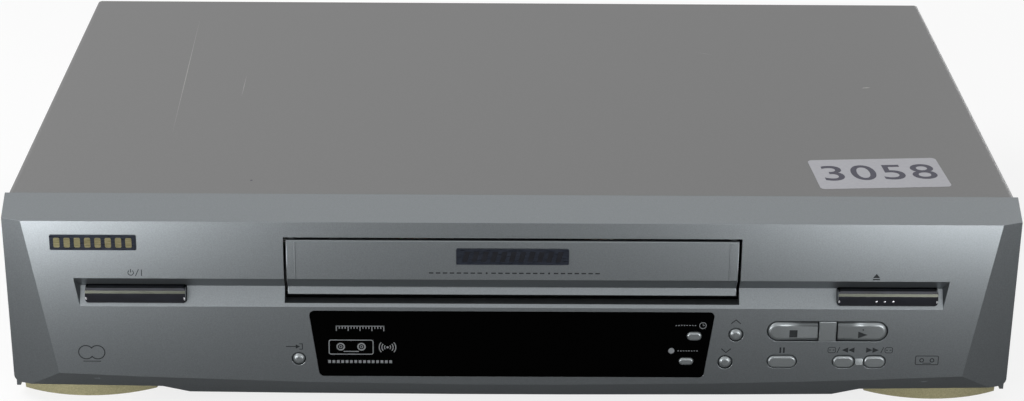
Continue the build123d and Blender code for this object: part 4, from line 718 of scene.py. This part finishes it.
class RECORDER_OT_board_parts(bpy.types.Operator):
    """Chips and small capacitors on the main board, the transformer's winding, tops of the large cans"""
    bl_idname = "recorder.board_parts"
    bl_label = "Board parts"

    def execute(self, context):
        self.chips_and_cans(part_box("main_board")[1].z / MM)
        self.can_tops(4, *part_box("filter_capacitors"))
        self.winding(*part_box("power_transformer"))
        return {"FINISHED"}

    def chips_and_cans(self, board_top):
        """Chips on their legs, and small upright capacitors, in millimetres."""
        millimetres = Matrix.Scale(MM, 4)
        chip_foot, chip_top, leg_top, leg_out = 0.8, 4.4, 2.6, 0.45
        half_wide, half_deep = 0.28, 0.35
        chips = bmesh.new()
        legs = bmesh.new()
        # Each chip's middle, length and width.
        for x, y, length, width in ((134, -78, 38, 13), (178, -52, 26, 7), (132, -34, 20, 7),
                                    (172, -10, 32, 10), (128, 18, 26, 7)):
            box(chips, (x - length / 2, y - width / 2, board_top + chip_foot),
                (x + length / 2, y + width / 2, board_top + chip_top))
            count = int(length / PITCH)
            for side in SIDES:
                for step in range(count):
                    leg_x = x + (step - (count - 1) / 2) * PITCH
                    leg_y = y + side * (width / 2 + leg_out)
                    box(legs, (leg_x - half_wide, leg_y - half_deep, board_top),
                        (leg_x + half_wide, leg_y + half_deep, board_top + leg_top))
        soften(chips, 0.35)
        add_piece(chips, "board_chips", "casing", "spark_grained_black_abs", "black_plastic",
                  place=millimetres)
        add_piece(legs, "board_chip_legs", "casing", "tin_plated_can", "tin_plate", place=millimetres)

        radius, height, above = 2.6, 7.0, 0.02
        cans = bmesh.new()
        for x, y in ((112, -92), (112, -60), (158, -88), (192, -88), (155, -52), (152, -30), (195, -28),
                     (112, -6), (148, 8), (150, 26), (190, 24)):
            bmesh.ops.create_cone(cans, cap_ends=True, segments=24, radius1=radius, radius2=radius,
                                  depth=height, matrix=Matrix.Translation(
                                      (x, y, board_top + height / 2 + above)))
        soften(cans, 0.5, angle=60)
        add_piece(cans, "board_capacitors", "casing", "shrunk_pvc_sleeve", "capacitor_sleeve",
                  place=millimetres)

    def can_tops(self, count, low, high):
        """Bare tops of the large filter capacitors, inside the edge of their sleeves."""
        bare, thick = 0.82, 0.1
        radius = (high.y - low.y) / 2 / MM
        first, last = low.x / MM + radius, high.x / MM - radius
        draw_piece([(disc, first + (last - first) * step / (count - 1), 0, radius * bare)
                    for step in range(count)], thick,
                   "large_can_tops", "casing", "tin_plated_can", "capacitor_sleeve",
                   place=on_plane(Matrix.Identity(4), 0, (low.y + high.y) / 2, high.z + thick / 2 * MM))

    def winding(self, low, high):
        """Taped coil that shows on both sides of the transformer's core."""
        corners = [vert.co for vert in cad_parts["power_transformer"].data.vertices]
        close, wrap, foot, softness = 0.01 * MM, 0.5 * MM, 1.5 * MM, 1.6 * MM
        coil = [corner for corner in corners if abs(corner.y - high.y) < close]
        core = [corner.y for corner in corners if abs(corner.x - high.x) < close]
        left, right = min(corner.x for corner in coil) - wrap, max(corner.x for corner in coil) + wrap
        top = max(corner.z for corner in coil) + wrap
        form = bmesh.new()
        for near, far in ((low.y - wrap, min(core)), (max(core), high.y + wrap)):
            box(form, (left, near, low.z + foot), (right, far, top))
        soften(form, softness, segments=3)
        add_piece(form, "transformer_winding", "casing", "wound_polyester_tape", "iron_core")


class RECORDER_OT_rear_sockets(bpy.types.Operator):
    """Shields, contacts, insulators and pins of the sockets on the rear panel"""
    bl_idname = "recorder.rear_sockets"
    bl_label = "Rear sockets"

    def execute(self, context):
        for node in ("scart_socket_1", "scart_socket_2"):
            self.shield(node)
            self.contacts(node)
        low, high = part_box("audio_jacks")
        for side, colour in zip(SIDES, ("white", "red")):
            self.sound_socket(colour, (low.x + high.x) / 2 / MM + side * 9.0, high.y, high.z / MM - 7.0)
        low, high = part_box("tuner_module")
        for name, z in (("aerial_input", 33.0), ("aerial_output", 60.0)):
            print_on([(arc, 0, 0, 1.35, 3.3)], name + "_insulator", "casing", "white_socket_insulator",
                     "tin_plate", (low.x + high.x) / 2 / MM, z, high.y, FACING_REAR)
        self.inlet_pins(*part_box("mains_inlet"))
        return {"FINISHED"}

    def sound_socket(self, colour, x, y, z):
        """Insulator, coloured collar and plated barrel of a sound socket."""
        radius, barrel = 4.15, 7.9
        finish = colour + "_socket_insulator"
        for name, inner, outer, forward in (("insulator", 1.75, 3.45, 0.0),
                                            ("collar", radius + 0.05, radius + 0.6, 8.0)):
            print_on([(arc, 0, 0, inner, outer)], colour + "_jack_" + name, "casing", finish,
                     "black_plastic", x, z, y - forward * MM, FACING_REAR)
        draw_piece([(arc, 0, 0, radius - 0.6, radius + 0.04)], barrel, colour + "_jack_barrel", "casing",
                   "nickel_plated_screws", "black_plastic", place=on_plane(FACING_REAR, x * MM, y, z * MM))

    def inlet_pins(self, inlet_low, inlet_high):
        """Two plated pins of the mains inlet, with chamfered tips."""
        radius, apart, behind, below = 1.23, 4.3, 12.98, 8.5
        form = bmesh.new()
        for side in SIDES:
            for low, high, narrow in ((0.0, 10.2, 0.0), (10.2, 11.02, 0.4)):
                bmesh.ops.create_cone(form, cap_ends=True, segments=24, radius1=radius,
                                      radius2=radius - narrow, depth=high - low,
                                      matrix=Matrix.Translation((side * apart, 0, (low + high) / 2)))
        add_piece(form, "inlet_pins", "casing", "nickel_plated_screws", "black_plastic", place=on_plane(
            FACING_REAR, (inlet_low.x + inlet_high.x) / 2, inlet_high.y - behind * MM,
            inlet_high.z - below * MM))

    def shield(self, node):
        """Thin tin shield that lines the mouth of a socket."""
        low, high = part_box(node)
        middle, size = (low + high) / 2, high - low
        ends, edges, sheet = 0.46, 0.4, 0.35
        form = cad_copy(node)
        outside = [face for face in form.faces
                   if abs(face.normal.y) > 0.1
                   or abs(face.calc_center_median().x - middle.x) > size.x * ends
                   or abs(face.calc_center_median().z - middle.z) > size.z * edges]
        bmesh.ops.delete(form, geom=outside, context="FACES")
        bmesh.ops.solidify(form, geom=form.faces[:], thickness=-sheet * MM)
        add_piece(form, node.replace("socket", "shield"), "casing", "tin_plated_can", "tin_plate")

    def contacts(self, node):
        """Two rows of ten gold-flashed blades, set half a pitch apart."""
        low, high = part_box(node)
        middle = (low + high) / 2
        pitch, blade, row_height, half_wide, half_thick, behind = 3.81, 7.5, 2.9, 0.7, 0.3, 12.03
        blades = []
        for row in SIDES:
            for step in range(10):
                x = (step - 4.5 + row * 0.25) * pitch
                y = row * row_height
                blades.append((box, (x - half_wide, y - half_thick, 0),
                               (x + half_wide, y + half_thick, blade)))
        draw_piece(blades, 0, node.replace("socket", "contacts"), "casing", "gold_flashed_contact",
                   "bearing_brass", place=on_plane(FACING_REAR, middle.x, high.y - behind * MM, middle.z))


class RECORDER_OT_rear_printing(bpy.types.Operator):
    """Printed signs on the rear panel, and a plain rating label"""
    bl_idname = "recorder.rear_printing"
    bl_label = "Rear printing"

    def execute(self, context):
        panel_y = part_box("rear_panel")[1].y
        ink = ("dark_screen_ink", "zinc_steel")

        def arrow(way):
            return [(polygon, *((way * x, y) for x, y in ((-1.7, -1.3), (1.9, 0), (-1.7, 1.3))[::way])),
                    (bar, -way * 3.2, 0, 3.0, 0.7), (outline, way * 0.4, 0, 9.4, 4.6, 0.35, 0.9)]
        loudspeaker = [(bar, 2.0, 0, 1.3, 2.0), (polygon, (1.4, -1.0), (1.4, 1.0), (-0.4, 2.2), (-0.4, -2.2)),
                       *((arc, 0.9, 0, radius - 0.2, radius + 0.2, 135, 90) for radius in (2.4, 3.6))]
        aerial = [(bar, 0, -0.6, 0.4, 5.2),
                  *((bar, side * 1.25, 1.6, 0.4, 3.2, -side * 52) for side in SIDES)]
        mains = [*((arc, side * 1.25, 0, 1.05, 1.45, 90 - side * 90, 180) for side in SIDES),
                 *((outline, 7.6, 0, size, size, 0.35, 0.05) for size in (5.6, 3.4))]
        frames = [(outline, 0, 0, 66.0, 30.0, 0.35, 1.2)]
        # Each sign's name, its place on the panel in millimetres, and its strokes.
        for name, x, z, strokes in (
                ("scart_mark_1", 20.0, 71.8, arrow(1)), ("scart_mark_2", 82.0, 71.8, arrow(-1)),
                ("sound_output_mark", 33.0, 40.6, loudspeaker), ("aerial_mark_1", 153.5, 33.0, aerial),
                ("aerial_mark_2", 153.5, 60.0, aerial), ("mains_mark", -185.0, 45.5, mains),
                ("socket_frame_1", 20.0, 61.5, frames), ("socket_frame_2", 87.5, 61.5, frames)):
            print_on(strokes, name, "casing", *ink, x, z, panel_y, FACING_REAR)

        print_on([(bar, 0, 0, 72.0, 22.0, 0.0, 1.2)], "rating_plate", "casing", "satin_rating_foil",
                 "zinc_steel", -118.0, 24.0, panel_y, FACING_REAR)
        lines = [(bar, length / 2 - 32.0, 6.6 - line * 4.2, length, 0.7)
                 for line, length in enumerate((26.0, 34.0, 30.0, 22.0))]
        stripes = [(bar, 8.0 + stripe * 0.95, 1.0, 0.3 + 0.35 * (stripe * 7 % 3 == 0), 12.0)
                   for stripe in range(24)]
        print_on([*lines, *stripes, (outline, 0, 0, 69.0, 19.0, 0.3, 0.9)], "rating_plate_print",
                 "casing", *ink, -118.0, 24.0, panel_y + 0.03 * MM, FACING_REAR)
        return {"FINISHED"}


class RECORDER_OT_cover_marks(bpy.types.Operator):
    """Light marks of use on the cover: three fine scratches, a speck and a chip"""
    bl_idname = "recorder.cover_marks"
    bl_label = "Cover marks"

    def execute(self, context):
        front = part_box("front_panel")[0].y / MM

        def scratch(length, turn, wide):
            place = Matrix.Rotation(radians(turn), 4, "Z")
            tips = [place @ Vector(point) for point in (
                (0, -length / 2, 0), (wide, 0, 0), (0, length / 2, 0), (-wide, 0, 0))]
            return [(polygon, *((tip.x, tip.y) for tip in tips))]
        chip = [(polygon, (-2.0, -0.7), (0.4, -0.5), (2.2, 0.5), (0.6, 0.9), (-1.2, 0.3))]
        # Each mark's name and finish, its place from the middle and the front, and its strokes.
        for name, finish, x, depth, strokes in (
                ("long_scratch", "rubbed_enamel", -155.0, 176.5, scratch(164, 1.8, 0.22)),
                ("short_scratch", "rubbed_enamel", -126.0, 160.0, scratch(30, 0.5, 0.18)),
                ("cross_scratch", "rubbed_enamel", 96.0, 210.0, scratch(9, 62.0, 0.16)),
                ("cover_speck", "label_ink", -112.0, 42.0, [(disc, 0, 0, 0.55, 10)]),
                ("cover_chip", "chipped_primer", 169.0, 162.0, chip)):
            print_on(strokes, name, "casing", finish, "cover_enamel", x, COVER_Z / MM,
                     (front + depth) * MM, Matrix.Identity(4))
        return {"FINISHED"}


class RECORDER_OT_printing(bpy.types.Operator):
    """Screen-printed symbols of the front, on the lacquer and the keys"""
    bl_idname = "recorder.printing"
    bl_label = "Front printing"

    def execute(self, context):
        def chevron(turned):
            return [(bar, side * 1.02, 0, 2.7, 0.42, -side * turned * 42) for side in SIDES]

        def search(way):
            arrows = [(polygon, *((way * x, y) for x, y in
                                  ((start - 2.7, -1.25), (start, 0), (start - 2.7, 1.25))[::way]))
                      for start in (0.0, 2.7)]
            reels = [(bar, way * 6.9 + side * 0.75, 0, 0.8, 0.34) for side in SIDES]
            return [*arrows, (bar, way * 4.1, 0, 0.3, 3.0, -22), (outline, way * 6.9, 0, 3.5, 2.8, 0.26, 0.9),
                    *reels]
        power = [(arc, -1.7, 0, 1.0, 1.32, 125, 290), (bar, -1.7, 0.85, 0.34, 1.5),
                 (bar, 0.9, 0, 0.32, 3.4, -24), (bar, 2.8, 0, 0.34, 2.9)]
        eject = [(polygon, (-1.5, -0.45), (1.5, -0.45), (0, 1.5)), (bar, 0, -1.15, 3.0, 0.55)]
        play = [(polygon, (-2.0, -1.55), (2.0, 0), (-2.0, 1.55)), (disc, 0, 2.35, 0.32, 16)]
        pause = [(bar, side * 0.75, 0, 0.75, 2.6) for side in SIDES]
        rings = [*((arc, side * 2.4, 0, 2.9, 3.35, -55 - side * 90, 290) for side in SIDES),
                 (bar, 0, -4.2, 7.5, 0.35)]
        socket = [(bar, -1.6, 0, 4.6, 0.36), (polygon, (0.2, -1.0), (2.0, 0), (0.2, 1.0)),
                  (bar, 3.0, 0, 0.36, 2.8), *((bar, 2.4, side * 1.25, 1.4, 0.34) for side in SIDES)]
        cassette = [(outline, 0, 0, 10.0, 4.4, 0.32, 0.7),
                    *((arc, side * 2.2, 0, 0.6, 1.0) for side in SIDES), (bar, 0, -1.35, 3.6, 0.3)]
        # Each symbol's name and body, its place on the front in millimetres, and its strokes.
        for name, body, x, z, strokes in (
                ("channel_up_mark", "casing", 94.5, 41.7, chevron(1)),
                ("channel_down_mark", "casing", 90.8, 28.2, chevron(-1)),
                ("power_mark", "casing", -157.7, 63.2, power), ("eject_mark", "casing", 152.5, 62.7, eject),
                ("stop_mark", "stop_button", 118.9, 36.6, [(bar, 0, 0, 3.4, 3.4)]),
                ("play_mark", "play_button", 148.3, 36.2, play), ("pause_mark", "casing", 114.6, 28.5, pause),
                ("rewind_mark", "casing", 142.6, 28.7, search(-1)),
                ("fast_forward_mark", "casing", 153.0, 28.7, search(1)),
                ("link_mark", "casing", -177.7, 26.2, rings),
                ("line_input_mark", "casing", -91.6, 29.3, socket),
                ("cassette_mark", "casing", 176.4, 24.0, cassette)):
            on_front = body == "casing"
            print_on(strokes, name, body, "dark_screen_ink", "front_lacquer" if on_front else "key_lacquer",
                     x, z, FRONT_Y if on_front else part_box(body)[0].y)
        return {"FINISHED"}


class RECORDER_OT_window_printing(bpy.types.Operator):
    """Pale pictograms on the display window"""
    bl_idname = "recorder.window_printing"
    bl_label = "Window printing"

    def execute(self, context):
        clock = [(arc, 0, 0, 1.25, 1.55), (bar, 0, 0.5, 0.26, 1.1), (bar, 0.35, 0, 0.9, 0.26),
                 *((bar, -3.2 - tick * 1.15, 0, 0.55, 0.4) for tick in range(8))]
        record = [(disc, 0, 0, 1.3), *((bar, 2.9 + tick * 1.15, 0, 0.55, 0.4) for tick in range(8))]
        reels = [(arc, side * 4.4, 0.2, *radii) for side in SIDES for radii in ((1.2, 1.8), (0.4, 0.7))]
        tape = [(outline, 0, 0, 19.0, 7.0, 0.4, 1.0), *reels, (bar, 0, -2.0, 6.4, 0.4)]
        waves = [*((arc, 0, 0, radius - 0.2, radius + 0.2, 50 - side * 90, 81)
                   for side in SIDES for radius in (1.3, 2.4, 3.5)), (disc, 0, 0, 0.5, 16)]
        scale = [*((bar, (step - 8) * 1.25, 0.5 if step % 4 else 0, 0.4, 1.0 if step % 4 else 2.0)
                   for step in range(17)), (bar, 0, 1.25, 20.4, 0.3)]
        level = [(bar, (step - 7) * 1.85, 0, 1.15, 1.3) for step in range(15)]
        # Each pictogram's name, its place on the window in millimetres, and its strokes.
        for name, x, z, strokes in (("timer_mark", 80.6, 39.9, clock), ("record_mark", 67.6, 28.0, record),
                                    ("tape_mark", -68.0, 29.1, tape), ("sound_mark", -52.6, 29.1, waves),
                                    ("tape_scale", -64.1, 37.7, scale), ("level_scale", -64.3, 22.3, level)):
            print_on(strokes, name, "casing", "pale_screen_ink", "window_acrylic", x, z)
        return {"FINISHED"}


class RECORDER_OT_badges(bpy.types.Operator):
    """Plain badges: a dark plate with gold ribs on the front, one with slats and a rim on the door"""
    bl_idname = "recorder.badges"
    bl_label = "Badges"

    def execute(self, context):
        self.name_badge(*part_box("name_badge"))
        self.door_badge(*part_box("door_badge"))
        return {"FINISHED"}

    def name_badge(self, low, high):
        """A dark plate with a row of equal gold ribs."""
        middle = (low + high) / 2
        width, height = (high.x - low.x) / MM, (high.z - low.z) / MM
        draw_piece([(bar, 0, 0, width, height, 0.0, 0.5)], (high.y - low.y) / MM, "name_badge_plate",
                   "casing", "black_anodised_plate", "badge_dark", ("name_badge",),
                   on_plane(FACING_FRONT, middle.x, low.y, middle.z))
        ribs = 8
        pitch = (width - 1.6) / ribs
        draw_piece([(bar, (step - (ribs - 1) / 2) * pitch, 0, pitch * 0.6, height - 2.4, 0.0, 0.6)
                    for step in range(ribs)], 0.4, "name_badge_ribs", "casing", "gold_anodised_plate",
                   "badge_gold", place=on_plane(FACING_FRONT, middle.x, low.y - 0.1 * MM, middle.z))

    def door_badge(self, low, high):
        """A leaning rim and slats on the dark plate, and a dashed line under it."""
        middle = (low + high) / 2
        form = bmesh.new()
        lean = 2.0
        x, z = (high.x - low.x) / MM / 2, (high.z - low.z) / MM / 2
        polygon(form, (-x, -z), (x - lean, -z), (x, z), (lean - x, z))
        leave_rim(form, list(form.faces), 0.3)
        thicken(form, 0.45)
        add_piece(form, "door_badge_rim", "door", "bright_chrome_rim", "badge_dark",
                  place=on_plane(FACING_FRONT, middle.x, low.y - 0.12 * MM, middle.z))
        slats = [(polygon, (x - 1.6, -2.3), (x + 0.5, -2.3), (x + 1.7, 2.3), (x - 0.4, 2.3))
                 for x in ((step - 5) * 3.9 for step in range(11))]
        draw_piece(slats, 0.3, "door_badge_slats", "door", "smoked_chrome_plating", "badge_dark",
                   place=on_plane(FACING_FRONT, middle.x, low.y - 0.1 * MM, middle.z))
        dashes = [(bar, (step - 12) * 2.9, 0, 1.9, 0.55) if step % 9 != 8
                  else (disc, (step - 12) * 2.9, 0, 0.45, 12) for step in range(25)]
        print_on(dashes, "door_line", "door", "dark_screen_ink", "front_lacquer", 0.8, 63.7, high.y)


class RECORDER_OT_label(bpy.types.Operator):
    """Paper label with plain digits on the cover"""
    bl_idname = "recorder.label"
    bl_label = "Cover label"

    def execute(self, context):
        sizes = context.scene.recorder_sizes
        right, behind_front, turn = 159.5, 53.5, 3.7
        paper, ink, corner, weight = 0.06 * MM, 0.03 * MM, 2.2 * MM, 0.16 * MM
        place = Matrix.Translation((right * MM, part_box("front_panel")[0].y + behind_front * MM, COVER_Z))
        place = place @ Matrix.Rotation(radians(turn), 4, "Z")
        form = bmesh.new()
        bmesh.ops.create_grid(form, x_segments=1, y_segments=1, size=0.5, matrix=Matrix.Diagonal(
            (sizes.label_length, sizes.label_width, 1, 1)))
        bmesh.ops.bevel(form, geom=list(form.verts), offset=corner, offset_type="OFFSET", segments=5,
                        profile=0.5, affect="VERTICES", material=-1)
        thicken(form, paper * 1.5)
        add_piece(form, "paper_label", "casing", "uncoated_label_paper", "cover_enamel",
                  place=place @ Matrix.Translation((0, 0, paper)))

        writing = bpy.data.curves.new("label_digits", "FONT")
        writing.body = "3058"
        writing.size = sizes.digit_height
        writing.align_x = "CENTER"
        writing.align_y = "CENTER"
        writing.offset = weight
        writing.space_character = 1.1
        holder = bpy.data.objects.new("label_digits", writing)
        flat = bpy.data.meshes.new_from_object(holder)
        bpy.data.objects.remove(holder)
        form = bmesh.new()
        form.from_mesh(flat)
        bmesh.ops.remove_doubles(form, verts=form.verts, dist=1e-6)
        thicken(form, ink)
        add_piece(form, "label_digits", "casing", "label_ink", "cover_enamel",
                  place=place @ Matrix.Translation((0, 0, paper + ink / 2)))
        return {"FINISHED"}


class RECORDER_OT_stage(bpy.types.Operator):
    """Pale floor, soft lamps and the camera"""
    bl_idname = "recorder.stage"
    bl_label = "Floor, lamps and camera"

    def execute(self, context):
        scene = context.scene
        form = bmesh.new()
        bmesh.ops.create_grid(form, x_segments=1, y_segments=1, size=6.0)
        mesh = bpy.data.meshes.new("floor")
        form.to_mesh(mesh)
        form.free()
        floor = bpy.data.objects.new("floor", mesh)
        scene.collection.objects.link(floor)
        mesh.materials.append(floor_finish(scene.recorder_colours.floor))

        white_world(scene)
        lamp("overhead_softbox", (-0.75, -0.1, 0.85), (-0.15, 0, 0.05), 0.7, 0.6, 4.4)
        lamp("rear_softbox", (0.95, 0.95, 0.22), (0, 0.14, 0.04), 0.9, 0.3, 4.0)
        lamp("left_softbox", (-0.43, -0.55, 0.07), (-0.19, -0.147, 0.04), 0.30, 0.16, 1.8)
        lamp("right_softbox", (0.40, -0.63, 0.08), (0.18, -0.147, 0.05), 0.30, 0.16, 1.3)
        lamp("front_strip", (0.0, -1.7, 0.95), (0, -0.15, 0.05), 2.0, 0.12, 0.3)

        view = bpy.data.cameras.new("camera")
        view.lens = 87.08
        view.sensor_width = 36.0
        camera = bpy.data.objects.new("camera", view)
        scene.collection.objects.link(camera)
        pitch, yaw, roll = (radians(angle) for angle in (22.634, 0.635, 0.520))
        camera.matrix_world = Matrix.Translation((-0.01095, -1.0915, 0.49026)) @ (
            Matrix.Rotation(-yaw, 4, "Z") @ Matrix.Rotation(pi / 2 - pitch, 4, "X")
            @ Matrix.Rotation(roll, 4, "Z"))
        scene.camera = camera
        scene.view_settings.view_transform = "Standard"
        return {"FINISHED"}


def studio_white(tree, direct, reflected):
    """How much of plain white a ray sees: the camera's, and those of reflections and glass."""
    path = add_node(tree, "LightPath")
    both = add_node(tree, "Math", {"operation": "ADD"}, {0: path.outputs["Is Glossy Ray"],
                                                         1: path.outputs["Is Transmission Ray"]})
    mirrored = add_node(tree, "Math", {"operation": "MULTIPLY", 1: reflected}, {0: both.outputs[0]})
    total = add_node(tree, "Math", {"operation": "MULTIPLY_ADD", 1: direct, "use_clamp": True},
                     {0: path.outputs["Is Camera Ray"], 2: mirrored.outputs[0]})
    return total.outputs[0]


def floor_finish(colour):
    """Matt pale studio floor: near white to the eye, with the object's soft shadow kept."""
    tree, shader, place = start_finish("pale_studio_floor", colour, 0.9,
                                       sockets={"Specular IOR Level": 0.0})
    vary(tree, shader, grain(tree, place, 0.3), (shade(colour, 0.995), colour))
    white = add_node(tree, "Emission", {"Color": (1, 1, 1, 1)}, {"Strength": studio_white(tree, 0.8, 0.05)})
    both = add_node(tree, "AddShader", links={0: shader.outputs[0], 1: white.outputs[0]})
    tree.links.new(both.outputs[0], tree.nodes["Material Output"].inputs["Surface"])
    return bpy.data.materials["pale_studio_floor"]


def white_world(scene):
    """Even light from all sides, and a white that the camera and reflections see."""
    world = bpy.data.worlds.new("studio")
    world.use_nodes = True
    tree = world.node_tree
    light = tree.nodes["Background"]
    light.inputs["Color"].default_value = (1, 1, 1, 1)
    light.inputs["Strength"].default_value = 0.5
    white = add_node(tree, "Background", {"Color": (1, 1, 1, 1), "Strength": 1.0})
    mix = add_node(tree, "MixShader", links={0: studio_white(tree, 1.0, 1.0), 1: light.outputs[0],
                                             2: white.outputs[0]})
    tree.links.new(mix.outputs[0], tree.nodes["World Output"].inputs["Surface"])
    scene.world = world


def lamp(name, place, target, width, height, watts):
    """A soft rectangular lamp that looks at its target."""
    light = bpy.data.lights.new(name, "AREA")
    light.shape = "RECTANGLE"
    light.size = width
    light.size_y = height
    light.energy = watts
    holder = bpy.data.objects.new(name, light)
    bpy.context.scene.collection.objects.link(holder)
    aim = (Vector(target) - Vector(place)).to_track_quat("-Z", "Y").to_matrix().to_4x4()
    holder.matrix_world = Matrix.Translation(place) @ aim
    holder.visible_camera = False


class RECORDER_PT_looks(bpy.types.Panel):
    """The recorder's pieces, in the order in which they are made"""
    bl_idname = "RECORDER_PT_looks"
    bl_label = "Cassette recorder"
    bl_space_type = "VIEW_3D"
    bl_region_type = "UI"
    bl_category = "Recorder"

    def draw(self, context):
        for group in (context.scene.recorder_colours, context.scene.recorder_sizes):
            for name in group.__annotations__:
                self.layout.prop(group, name)
        for step in STEPS:
            self.layout.operator(step.bl_idname)


STEPS = (RECORDER_OT_finishes, RECORDER_OT_mouldings, RECORDER_OT_keys, RECORDER_OT_screws,
         RECORDER_OT_slot_shade, RECORDER_OT_board_parts, RECORDER_OT_rear_sockets,
         RECORDER_OT_rear_printing, RECORDER_OT_printing, RECORDER_OT_window_printing,
         RECORDER_OT_badges, RECORDER_OT_label, RECORDER_OT_cover_marks, RECORDER_OT_stage)
CLASSES = (RecorderColours, RecorderSizes) + STEPS + (RECORDER_PT_looks,)


def register():
    """Makes the settings, operators and panel known."""
    for part in CLASSES:
        bpy.utils.register_class(part)
    bpy.types.Scene.recorder_colours = PointerProperty(type=RecorderColours)
    bpy.types.Scene.recorder_sizes = PointerProperty(type=RecorderSizes)


def unregister():
    """Takes them away again."""
    del bpy.types.Scene.recorder_sizes
    del bpy.types.Scene.recorder_colours
    for part in reversed(CLASSES):
        bpy.utils.unregister_class(part)


def main():
    """Dresses the model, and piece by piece."""
    register()
    for step in STEPS:
        getattr(bpy.ops.recorder, step.bl_idname.split(".")[1])()


if __name__ == "__main__":
    main()
